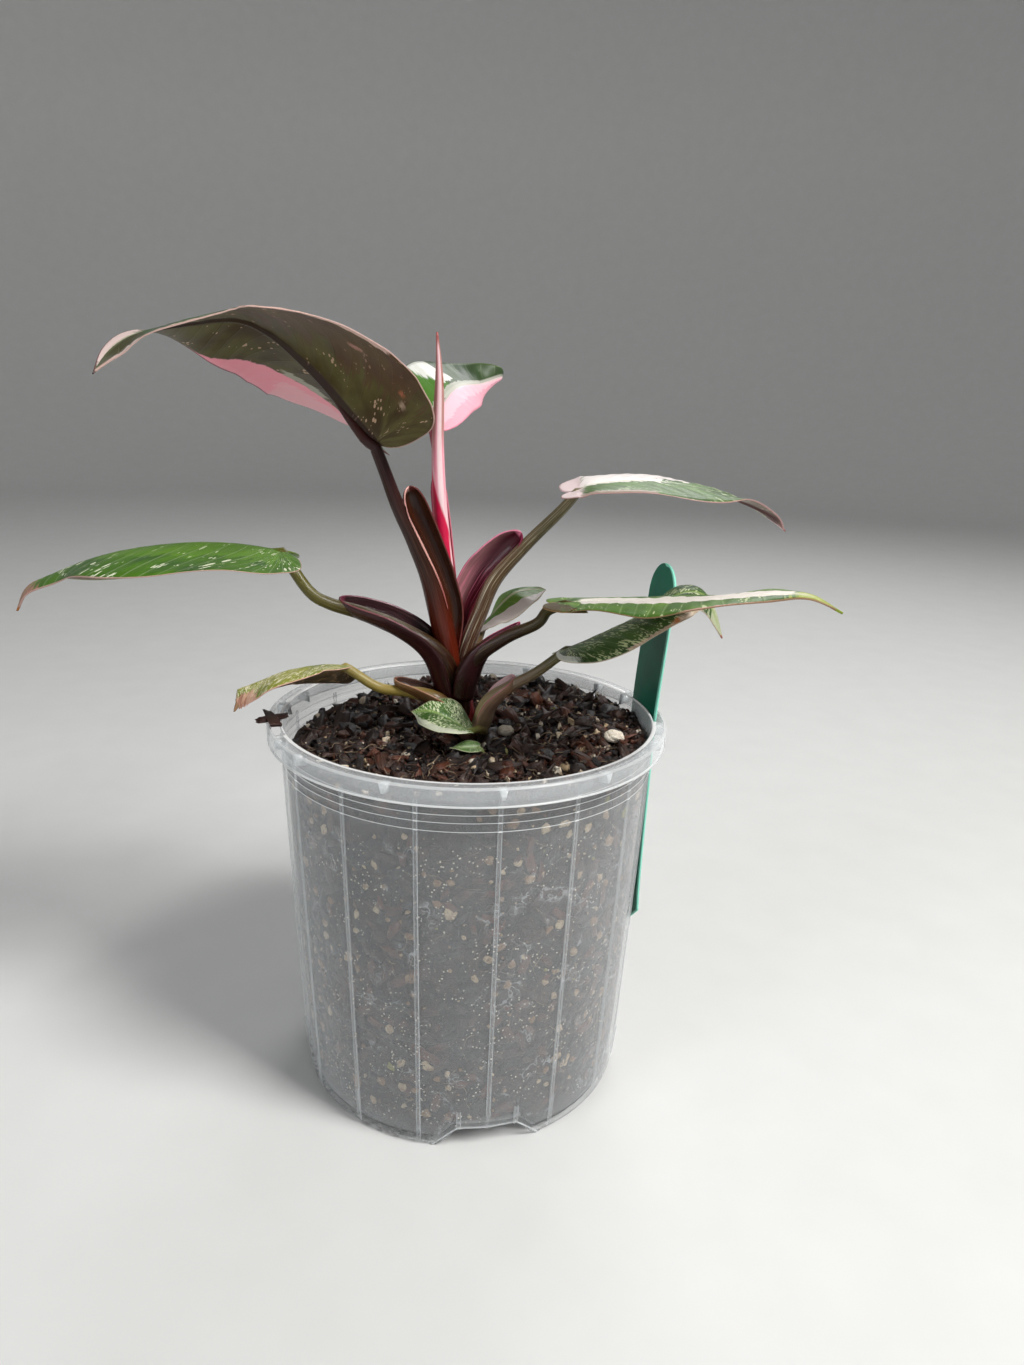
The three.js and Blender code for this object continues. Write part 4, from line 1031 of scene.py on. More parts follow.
# The ten leaves, oldest first, each with the marbling of its own blade.
LEAVES: tuple[Leaf, ...] = (
    Leaf(
        LeafForm(name="leaf_old_left",
            stalk=((-3.2, -2.2, 114.5), (-8.6, -5, 121.2), (-17.4, -6, 124.3), (-26.2, -7, 125.6),
            (-36.1, -7.8, 131.9)), stalk_radii=(2.4, 2.4, 1.7, 1.5, 1.4),
            sheath=((-2.6, -2, 115.5), (-8.6, -5, 122.6), (-15.4, -6, 126.3), (-22, -6.4, 128.4)),
            sheath_widths=(3.6, 4, 3.2, 2.2), opens=(0.2, -0.1, 1),
            midrib=((-36.1, -7.8, 132.5), (-42.6, -7.4, 132.4), (-52.9, -9.6, 131), (-60.5, -9.6, 127.9),
            (-69.6, -10.8, 124.1)),
            across=(0, 1, 0), width=(13.5, 13.5), roll=(-13, -8, 4), fold=((-26, -16, -26, -38),
            (-3, -1, -12, -43)), curl=((-13, -11, -11), (-8, -8, -11)), blunt=0.42, notch=0.08, wave_mm=0.6,
            torn=1.4),
        LeafSkin(green="96983c", shadow="6c7a2c", below="7d6a4c", below_shadow="4c3f2c", fleck="f0e8c8",
            flecks=1.1, rims=("c9a08f", "d8a89a"), midrib="b3aa66", tip="a07c5c", tip_from=0.93, gloss=0.3,
            vein_mm=1.7,
            patches=(Patch("b9a46c", (0.1, 1.1), (0.70, 1.1), 0.3, 0.8, 3.0),
             Patch("d7a594", (-1.2, -0.5), (0.74, 1.0), 0.4, 0.8, 6.0),
             Patch("8a4a34", (-1.1, -0.4), (0.86, 0.93), 0.4, 0.6, 7.0))),
        StalkSkin("4a2418", "8f7c3c", "9a8a48", "5a3f22", 0.5, "6a5230"),
        SheathSkin("2f1612", "4e3420", "6a4c2a", "6a4230", "3a2018", "b08468", "8a5a44", 0.4)),
    Leaf(
        LeafForm(name="leaf_low_right",
            stalk=((2.8, -3, 112.5), (5.8, -8, 122.3), (12.2, -11, 128.2), (18.9, -13, 132.8),
            (27.6, -15.2, 140.4)), stalk_radii=(2.2, 2.2, 1.7, 1.5, 1.4),
            sheath=((2.8, -3.4, 113.6), (5.8, -8, 123.6), (13, -11, 131)), sheath_widths=(3.4, 3.5, 2.8),
            opens=(-0.6, -0.2, 1),
            midrib=((27.6, -15.2, 141), (33.8, -14.6, 143.5), (46.6, -14, 149.6), (55, -15.2, 155.7),
            (61.3, -15.5, 158.3), (66.5, -15.4, 156.2), (72.4, -13.3, 144.5)),
            across=(0, -1, 0), width=(17.5, 14), roll=(-3, -6, -5, -21, -42), fold=((11, 7, -5, -16),
            (-19, -17, -9, 9)), curl=((-17, -9, -1), (-3, -6, -4))),
        LeafSkin(green="4a6a2c", shadow="2c4423", fleck="c5cf9c", flecks=0.95, below="6d5c48",
            rims=("b8a890", "a9a88c"), rim_mm=0.3, midrib="8aa05c", tip="a8604a", tip_from=0.975,
            vein_mm=3.2,
            patches=(Patch("dfe3d6", (0.72, 1.3), (-0.2, 0.0), 0.15, 0.9, 2.0),
             Patch("dfe3d6", (-1.3, -0.6), (-0.2, 0.0), 0.15, 0.9, 2.0),
             Patch("b9bd9c", (-1.2, 1.2), (0.82, 1.1), 0.4, 0.8, 5.0),
             Patch("d9b7a6", (0.93, 1.2), (0.25, 0.75), 0.1, 0.6, 4.0),
             Patch("b5703c", (0.88, 1.2), (0.535, 0.575), 0.1, 0.9, 7.0),
             Patch("efdcc8", (0.80, 1.2), (0.575, 0.64), 0.15, 0.8, 9.0))),
        StalkSkin("a4946c", "7a6650", "504e2c", "cdbca0", 0.5, "5c5434"),
        SheathSkin("b09a78", "a0806c", "8a6a52", "d0b0b0", "94606a", "e0a4ac", "b87078", 0.1, 0.8, False,
            0.5)),
    Leaf(
        LeafForm(name="leaf_right_front",
            stalk=((-1.9, -0.7, 115.6), (-2.3, -2.4, 125.2), (1.6, -5.6, 135.1), (9.8, -9, 142),
            (18.9, -12.2, 147.3), (21.8, -13.8, 151.5), (26.1, -18.1, 154.3)),
            stalk_radii=(2.6, 3, 2.9, 2.3, 1.8, 1.6, 1.4),
            sheath=((-3.1, -1, 122), (-2.1, -2, 128.4), (0.3, -3.4, 134.7), (4.3, -5, 139.8),
            (14.2, -8, 146.7)), sheath_widths=(4.2, 4.7, 4, 3, 1.8), opens=(-0.6, 0.1, 1),
            midrib=((26.1, -18.1, 154.9), (34.7, -19.5, 155.9), (51.5, -34.9, 159.6), (61.6, -48, 163.4),
            (72.4, -58.1, 166.5), (78.4, -63.3, 167.2), (84.8, -67, 164.3)),
            across=(-0.6, -0.8, 0), width=(17, 14.5), roll=(5, 8, 2, -7),
            fold=((-7, -4, -5, -1), (4, 4, 1, 6)), curl=((0, -10, -10), (-3, 0, -1))),
        LeafSkin(green="64892f", shadow="42662a", fleck="d3dcaa", flecks=0.6, below="5a4424",
            below_shadow="33271a", below_fleck="7d6a3e", rims=("8a6c4a", "8aa04c"), midrib="e8e4cc",
            tip="8a9a30", tip_from=0.975,
            patches=(Patch("f3ece2", (-0.40, 0.42), (0.055, 0.40), 0.07, 1.0, 1.0),
             Patch("f3e9e0", (-0.70, 0.39), (0.30, 0.85), 0.07, 1.0, 2.0),
             Patch("a9b04c", (-1.2, 1.2), (0.86, 1.1), 0.3, 0.8, 6.0),
             Patch("e4b0a8", (0.92, 1.2), (0.58, 1.1), 0.08, 0.85, 9.0),
             Patch("4c3a1e", (0.35, 1.3), (-0.2, 0.012), 0.12, 0.95, 4.0))),
        StalkSkin("2c1010", "2c1a12", "3e3818", "7a6a3a", 0.35, "5a4824"),
        SheathSkin("260a0c", "34161a", "3a1c1e", "541a30", "3a1218", "d8507c", "7a2a44", 0.75, 0.9)),
    Leaf(
        LeafForm(name="leaf_left",
            stalk=((-3.8, 0.8, 116.6), (-7.6, -1.6, 132.8), (-19.1, -4, 142), (-30.4, -6, 147.4),
            (-40.4, -8, 150.9), (-46.1, -8.8, 154.8), (-53.5, -6.6, 164.9)),
            stalk_radii=(2.6, 3, 2.6, 2.1, 1.7, 1.6),
            sheath=((-3.6, 0.8, 118), (-9, -2, 136.6), (-21, -4.4, 146.6), (-37.6, -6.4, 152.2)),
            sheath_widths=(4.6, 5.4, 5, 3.6), opens=(0.5, -0.2, 1),
            midrib=((-53.5, -6.6, 165.5), (-65.7, -9, 167.5), (-78.8, -11, 167.7), (-93.8, -13, 165.7),
            (-107.8, -13.6, 161.4), (-119.8, -15.9, 155.4), (-124.8, -14.8, 148.1)),
            across=(0, 1, 0), width=(28, 28), roll=(-4, -5, -9, -6, 33), fold=((-20, -18, -15, -12, 6),
            (-20, -18, -15, -12, -8)), curl=((11, -3, -17), (11, -3, -17))),
        LeafSkin(green="4e7818", shadow="33581c", fleck="eef2d4", flecks=0.62, long=1.5, below="8f7a70",
            below_shadow="6a554c", below_fleck="b59a90", rims=("7d9440", "c09a90"), midrib="86ac3c",
            tip="a8682c", tip_from=0.972, gloss=0.35,
            patches=(Patch("6c982a", (-0.45, 0.45), (0.0, 0.6), 0.5, 0.45, 2.0),
             Patch("557c24", (0.0, 1.4), (-0.3, 0.12), 0.05, 1.0, 3.0),
             Patch("b07c70", (-1.2, 1.2), (0.87, 1.1), 0.2, 0.85, 5.0))),
        StalkSkin("2c110c", "36260f", "5e5a20", "9a9450", 0.3, "4f7424"),
        SheathSkin("2a0a10", "2c1012", "3a1c1c", "54302a", "30161a", "8c4c54", "8a4058", 0.72, 0.6)),
    Leaf(
        LeafForm(name="leaf_upper_right",
            stalk=((-2.2, 3.4, 124.2), (-1.7, 2.4, 133.6), (2.5, 3.4, 145.9), (7.1, 4, 156.7),
            (15.5, 4, 166.8), (25.5, 4, 177.2), (30.4, 5.4, 182.7)),
            stalk_radii=(1.9, 2.4, 2.4, 2.2, 1.9, 1.7, 1.5),
            sheath=((-3.3, 4.6, 132.5), (-3.5, 6.2, 145.6), (1, 6, 156.4), (5, 5.6, 161.6), (9, 5, 165.9),
            (14.4, 4.4, 170.8)), sheath_widths=(2.6, 3.6, 4.2, 4.6, 4.2, 3), opens=(-0.5, -0.8, 0.2),
            midrib=((30.4, 5.4, 183.3), (35.2, 5, 185.2), (48.4, 5, 186.8), (62.1, 5.9, 185.8),
            (78, 8.7, 182.3), (89.4, 7.8, 177.3), (95.2, 10.5, 172.6)),
            across=(0, -1, 0), width=(18, 19.5), roll=(-3, -1, 0, 4, 42),
            fold=((7, -3, 1, 18), (13, 6, 5, -1)), curl=((-4, -6, -4), (-13, -5, 1))),
        LeafSkin(green="5f8040", shadow="40582f", fleck="c3cda8", flecks=0.7, below="8d7e70",
            below_shadow="6b5d50", below_fleck="b5a698", rims=("b98f8c", "f0cfd2"), midrib="c3cba8",
            tip="9a6a66", tip_from=0.975, rim_mm=0.5,
            patches=(Patch("f1e8e4", (-1.2, 0.16), (0.02, 0.37), 0.30, 1.0, 1.0),
             Patch("f1e8e4", (-1.2, -0.28), (0.30, 0.52), 0.30, 1.0, 2.0),
             Patch("f3dedd", (-1.2, 1.2), (-0.2, 0.03), 0.12, 1.0, 4.0),
             Patch("b7bd9a", (-1.2, -0.6), (0.48, 0.85), 0.4, 0.6, 7.0),
             Patch("a8958a", (0.86, 1.3), (0.02, 0.30), 0.1, 0.9, 8.0),
             Patch("b98a80", (-1.2, 1.2), (0.93, 1.1), 0.2, 0.6, 5.0))),
        StalkSkin("4a2a1e", "5a452e", "6f664a", "d8d0b4", 0.9, "a89a86"),
        # The inside's pale mauve (a8767a) is partly the sheath's own colour and partly a painted highlight.
        SheathSkin("3c1218", "4a1c24", "5c2430", "a8767a", "4c0a20", "f08caa", "8a2a4c", 0.4, 0.85, False,
            0.5)),
    Leaf(
        LeafForm(name="leaf_back",
            stalk=((-1.2, 6.6, 124), (-6.3, 10.2, 145.1), (-7.7, 11, 157.9), (-9.1, 12, 172.9),
            (-10.1, 13.4, 187.5), (-12.6, 14.6, 201.7)), stalk_radii=(1.8, 1.7, 1.6, 1.6, 1.5, 1.4),
            sheath=((-5.3, 9, 141.3), (-7.4, 9.6, 158.2), (-9.1, 10.2, 173.1), (-10.7, 11, 186.5)),
            sheath_widths=(2.2, 2.3, 2.3, 2), opens=(0.2, -1, 0.2),
            midrib=((-12.6, 14.6, 202.3), (-6.2, 26.9, 211.1), (2.2, 46.6, 213.2), (8.6, 53.5, 215.4),
            (7.9, 60.5, 213.8)),
            across=(0.78, -0.25, -0.5), width=(9, 16.5), roll=(3, -12, -56), fold=((2, -12, -20, -36),
            (4, -10, -17, 30)), curl=((-7, -5, -1), (0, -4, -7)), blunt=0.01),
        LeafSkin(green="3f5230", shadow="2f4028", fleck="8f9a7c", flecks=0.25, below="8f5f58",
            below_shadow="6f4440", below_fleck="d9a6a6", rims=("e88ca0", "56663c"), midrib="c8c6bb",
            below_midrib="8a3a44", tip="5c6a44", tip_from=0.985, gloss=0.2,
            patches=(Patch("4c782c", (-1.2, -0.02), (-0.2, 0.30), 0.2, 0.9, 5.0),
             Patch("d8d8d0", (-1.2, -0.22), (0.255, 0.41), 0.2, 1.0, 4.0),
             Patch("b9b9ae", (-0.12, 0.08), (0.05, 0.66), 0.08, 0.85, 3.0),
             Patch("f8c4d0", (0.06, 1.2), (-0.2, 0.93), 0.05, 1.0, 1.0),
             Patch("f0a4b6", (0.55, 1.2), (-0.2, 1.0), 0.25, 0.7, 2.0))),
        StalkSkin("6a1e2c", "a03a50", "a85464", "f0b0b4", 0.5, "8a3a44"),
        SheathSkin("5c0f24", "9a1c40", "7a3040", "b02a50", "9a1c40", "d84a78", "e890a0", 0.5),
        slot="leaf_pink"),
    Leaf(
        LeafForm(name="leaf_back_right",
            stalk=((0.8, 5.2, 118), (-0.6, 8.5, 127), (1.4, 11.5, 132.4), (3.9, 20.2, 138.3)),
            stalk_radii=(1.7, 1.6, 1.5, 1.4),
            sheath=((0.7, 4.9, 119), (-0.9, 8.2, 127.1), (0.7, 9.8, 130.6)), sheath_widths=(2.4, 2.2, 1.7),
            opens=(-1, -0.4, 0.3),
            midrib=((3.9, 20.2, 138.9), (6.4, 21.1, 141.8), (13.5, 23.9, 148.5), (22.2, 32.7, 148.5),
            (25.2, 38.5, 147)),
            across=(0.8, -0.6, -0.1), width=(9, 6), roll=(38, 3, -16), fold=((-2, -7, 0), (-36, -7, 17)),
            curl=((-10, -6, -1), (-11, -6, -1))),
        LeafSkin(green="7aa838", shadow="5c902c", fleck="b9cb8c", flecks=0.4, below="7d6a58",
            rims=("e6d6c4", "a9b07c"), midrib="e3e2bc", tip="7a5c48", tip_from=0.94,
            patches=(Patch("f6ebe4", (0.25, 3.0), (-0.2, 0.97), 0.05, 1.0, 1.0, 0.75),)),
        StalkSkin("3c1a18", "5a3a2c", "7a6a48", "a08a6a", 0.4, "8a7a5a"),
        SheathSkin("2c1010", "4a2020", "5c2c30", "6a3a44", "4a2028")),
    Leaf(
        LeafForm(name="leaf_top_left",
            stalk=((-4.2, 1.6, 125.6), (-7.5, 1, 139.8), (-11.8, 0, 157.2), (-16.1, -1, 167.4),
            (-20.8, -2.5, 177.4), (-24.4, -4, 187), (-27.3, -4.8, 194.8)),
            stalk_radii=(2.4, 3.2, 3.4, 2.9, 2.3, 1.9, 1.7),
            sheath=((-5.1, 0.6, 134.6), (-4.4, 0.4, 146.9), (-7.1, 0, 157.4), (-11.3, -0.5, 167.5),
            (-15.7, -1.4, 177.4), (-18, -2.2, 183.8)), sheath_widths=(1.7, 2.1, 2.3, 2.7, 3.1, 3.2),
            opens=(0.3, -0.9, 0.1),
            midrib=((-27.3, -4.8, 195.4), (-33.1, -5.9, 202.1), (-39.7, -8, 210.2), (-45.7, -10.2, 216.4),
            (-53.4, -11.6, 222.8), (-61.4, -13.1, 225.9), (-71.8, -16.2, 224.6), (-85, -18.5, 221.3),
            (-91.8, -19.7, 217), (-96.4, -20.5, 211)),
            across=(-0.2, 0.87, -0.45), width=(31, 35), roll=(-5, -3, 1, 8, 16, 45),
            fold=((32, 11, -1, -10, -10, 15, 46), (39, 28, 13, -9, -15, -27, -50)), curl=((-2, -1, 0, 0, 1),
            (-17, -11, -7, -2, 1))),
        LeafSkin(green="46603a", shadow="2f4629", fleck="a9b48c", flecks=0.6, below="5c5530",
            below_shadow="402f18", below_fleck="c9a68c", rims=("6a3038", "e3bcb2"), rim_mm=0.6,
            midrib="8c9a70", below_midrib="2c1310", tip="2c2022", tip_from=0.985, gloss=0.3,
            patches=(Patch("5a3a2c", (-1.2, -0.35), (0.04, 0.5), 0.7, 0.55, 6.5),
             Patch("c4bfae", (-0.06, 0.06), (0.19, 0.34), 0.10, 0.7, 3.0, 1.33),
             Patch("ffa0b2", (0.05, 3.0), (0.03, 0.9), 0.035, 1.0, 1.0, 1.33),
             Patch("ffc2cc", (0.20, 3.0), (0.05, 0.32), 0.25, 0.6, 6.0, 1.33),
             Patch("e0bdb2", (-1.2, -0.92), (0.22, 0.86), 0.04, 0.8, 4.0),
             Patch("e6d2c8", (-1.2, -0.78), (0.80, 0.97), 0.1, 0.9, 8.0),
             Patch("e9cfc9", (0.0, 1.2), (0.82, 0.97), 0.15, 0.95, 9.0),
             Patch("4c4630", (-0.85, 0.02), (0.80, 0.975), 0.15, 0.85, 2.5),
             Patch("b98478", (-0.66, -0.61), (0.262, 0.288), 0.03, 0.8, 5.0),
             Patch("b0664a", (-0.62, -0.56), (0.062, 0.082), 0.03, 0.9, 7.0),
             Patch("b59a86", (-0.54, -0.47), (0.030, 0.048), 0.03, 0.8, 2.0))),
        StalkSkin("5c1c0c", "2e160b", "2c1214", "8a5a4a", 0.22, "3a1a18"),
        SheathSkin("70200f", "40200e", "38181a", "46240f", "3a1a0c", "eeb4aa", "6a3430", 0.1, 0.9, True,
            0.05),
        slot="leaf_underside"),
    Leaf(
        LeafForm(name="leaf_small_round",
            stalk=((4.2, -5.4, 108), (4.4, -8.2, 113.6), (-0.5, -14, 114.9)), stalk_radii=(1.2, 1.1, 0.9),
            midrib=((-0.5, -14, 115.2), (-5.6, -13.7, 118.6), (-11.3, -12.7, 120.5), (-16.9, -9.8, 119.3)),
            across=(0, 1, 0), width=(8.5, 12.5), roll=(8, 19, 35), fold=((6, 14, 10, 8), (34, 20, 12, 2)),
            curl=((-12, -9, -3), (-17, -9, -1)), wave_mm=0.15),
        LeafSkin(green="476e26", shadow="30501e", fleck="dbe3ba", flecks=1.1, below="6d5c48",
            rims=("b7b78c", "d8dcb8"), rim_mm=0.3, midrib="7d9a4c", tip="8a7a5a", vein_mm=1.25,
            patches=(Patch("c6c9b4", (-1.2, -0.78), (0.05, 0.95), 0.15, 0.85, 2.0),)),
        StalkSkin("6a4a30", "8a7a48", "7d8a48", "b9a86a", 0.4, "7d8a48")),
    Leaf(
        LeafForm(name="leaf_smallest",
            stalk=((5, -18.4, 106.6), (4.4, -18.7, 110.2), (3.2, -19, 111.6)), stalk_radii=(0.9, 0.9, 0.8),
            midrib=((3.2, -19, 111.9), (-0.8, -20, 112.2), (-5.3, -21, 112.4)),
            across=(0, 1, 0), width=(2.6, 2.6), roll=(20, 20, 10), fold=((10, 8, 0), (10, 8, 0)),
            curl=((0, 0, 0), (0, 0, 0)), wave_mm=0.05),
        LeafSkin(green="6a8a4c", shadow="446434", fleck="cdd6ae", flecks=0.9, below="7d7a58",
            rims=("a9b58c", "c3c9a0"), rim_mm=0.2,
            midrib="9ab07a", tip="8a7a5a", vein_mm=1.2),
        StalkSkin("7a6a48", "8a8a58", "8a9a60", "b9b88a", 0.3, "8a9a60")),
)


@dataclass(frozen=True)
class RolledSkin:
    """The skin of the rolled new leaf, striped along its length."""

    name: str = "rolled_leaf_skin"
    pink: str = "f294a8"
    deep: str = "d8124a"
    pale: str = "fbe4e6"
    tan: str = "a87c6c"
    tip: str = "a8504a"
    ember: str = "d8461c"
    scar: str = "9a4a2c"

    def build(self) -> Skin:
        """Makes the material, which reads the spike's length and turn."""
        s = Shade(self.name)
        t, _, turn = s.attribute("stalk")
        streak = s.noise(s.join(turn * 13.0, t * 1.6, 3.0), 1.0, 5.0, 0.65)
        place = turn + t * 0.127 + (streak - 0.5) * 0.08
        s.colour = s.mix(streak.ramp(0.46, 0.66), self.pink, self.pale)
        s.over(place.band(0.34, 0.46, 0.03) * t.ramp(0.3, 0.5) * 0.8, self.pale)
        reach = 0.66 - (0.64 - t).higher(0.0) * 2.0
        left = place.ramp(reach - 0.03, reach + 0.03) * place.ramp(0.98, 0.92)
        s.over(left * t.ramp(0.645, 0.60), self.deep)
        ember = s.noise(s.join(turn * 8.0, t * 4.0, 8.0), 1.0, 4.0, 0.6)
        s.over(ember.ramp(0.54, 0.60) * t.ramp(0.42, 0.30), self.deep)
        s.over(ember.ramp(0.50, 0.42) * t.ramp(0.38, 0.2) * 0.9, self.ember)
        gleam = place.band(0.24, 0.31, 0.02) * t.ramp(0.46, 0.38)
        s.over(gleam * 0.8, self.pale)
        tan = place.band(0.51, 0.80, 0.03).higher(place.band(0.10, 0.36, 0.03)) * t.ramp(0.66, 0.76)
        s.over(tan * 0.8, self.tan)
        scar = place.band(0.21, 0.31, 0.02) * t.band(0.855, 0.88, 0.006)
        s.over(scar * 0.9, self.scar)
        s.over(t.ramp(0.95, 0.99), self.tip)
        return s.finish(0.34, streak, 0.15, Coat_Weight=0.15, Coat_Roughness=0.2)


@dataclass
class Crown:
    """The short stem, and the newest leaf that stands rolled up in its middle."""

    stem: tuple[Point, ...] = ((-1.6, 1.4, 92), (-1.6, 1.4, 104), (-1.8, 1.5, 114), (-2.7, 1.8, 123))
    stem_radii: tuple[float, ...] = (3, 4.2, 4.6, 2.8)
    spike: tuple[Point, ...] = ((-2.7, 4.2, 125.8), (-5.2, 5.4, 144.7), (-6.8, 5.8, 155.2),
        (-9.3, 6.6, 175.7), (-10.3, 6.6, 193.5), (-10.1, 6.6, 212.2), (-10.9, 6.6, 225.6))
    spike_radii: tuple[float, ...] = (1.3, 1.9, 2.2, 2.2, 1.9, 1.45, 0.3)

    def build(self) -> None:
        """Makes both pieces."""
        stem = Stalk("crown_stem_skin", self.stem, self.stem_radii, sides=24, wobble=0.06)
        red = StalkSkin("5a2a1e", "7c2c2c", "9c2a38", "d8805c", 0.5)
        adopt(stem.build(), red.build("crown_skin"), "stalk", "crown_stem")
        spike = Stalk("rolled_leaf", self.spike, self.spike_radii, 40, 90, wobble=0.02, overlap=0.16)
        adopt(spike.build(), RolledSkin().build(), "leaf_pink", "new_leaf_rolled")


# ---- geometry nodes


class Growth(Tree):
    """A Geometry Nodes tree under construction, with named inputs."""

    def __init__(self, name: str, **inputs: tuple[str, object]) -> None:
        """Starts a tree whose first input is a geometry.

        Args:
            name: the tree's name.
            inputs: socket type and value of each further input; _ stands for a space.
        """
        self.tree = bpy.data.node_groups.new(name, "GeometryNodeTree")
        face = self.tree.interface
        face.new_socket("Geometry", in_out="INPUT", socket_type="NodeSocketGeometry")
        face.new_socket("Geometry", in_out="OUTPUT", socket_type="NodeSocketGeometry")
        self.values: dict[str, object] = {}
        for key, (kind, value) in inputs.items():
            socket = face.new_socket(key.replace("_", " "), in_out="INPUT", socket_type=f"NodeSocket{kind}")
            self.values[socket.identifier] = value
        self.entry = self.tree.nodes.new("NodeGroupInput")

    def given(self, name: str) -> Socket:
        """The socket that carries an input of the tree."""
        return self.entry.outputs[name]

    def node(self, kind: str, inputs: dict | None = None, out: int | str = 0, **settings: object) -> Socket:
        """Adds any node and gives one of its outputs."""
        return self.add(kind, inputs, out, settings)

    def maths(self, operation: str, *values: object) -> Socket:
        """One Math node that works on the values, in order."""
        return self.node("ShaderNodeMath", dict(enumerate(values)), operation=operation)

    def grow(self, piece: Piece, instances: Socket) -> Piece:
        """Ends the tree, runs it on a piece and keeps the result as a plain mesh.

        Args:
            piece: the object whose mesh the tree starts from.
            instances: what the tree has made.

        Returns:
            The same object with its new mesh.
        """
        real = self.node("GeometryNodeRealizeInstances", {0: instances})
        dressed = self.node("GeometryNodeSetMaterial", {0: real, "Material": self.given("Material")})
        way_out = self.tree.nodes.new("NodeGroupOutput")
        self.tree.links.new(dressed, way_out.inputs[0])
        modifier = piece.modifiers.new("growth", "NODES")
        modifier.node_group = self.tree
        for identifier, value in self.values.items():
            modifier[identifier] = value
        settle(piece)
        return piece


def settle(piece: Piece) -> None:
    """Turns a piece and its modifiers into a plain smooth mesh."""
    depsgraph = bpy.context.evaluated_depsgraph_get()
    mesh = bpy.data.meshes.new_from_object(piece.evaluated_get(depsgraph), depsgraph=depsgraph)
    piece.modifiers.clear()
    piece.data = mesh
    mesh.shade_smooth()


def boolean(piece: Piece, tools: Sequence[Piece], operation: str) -> None:
    """Cuts tools out of a piece or joins them to it, and removes them.

    Args:
        piece: the object to change.
        tools: closed meshes.
        operation: DIFFERENCE or UNION.
    """
    for tool in tools:
        modifier = piece.modifiers.new("cut", "BOOLEAN")
        modifier.operation = operation
        modifier.solver = "MANIFOLD"
        modifier.object = tool
        settle(piece)
        bpy.data.objects.remove(tool)


# ---- the pot

# An angle past the half turn, for a ring of pieces that keeps nothing clear.
NOWHERE = 300.0


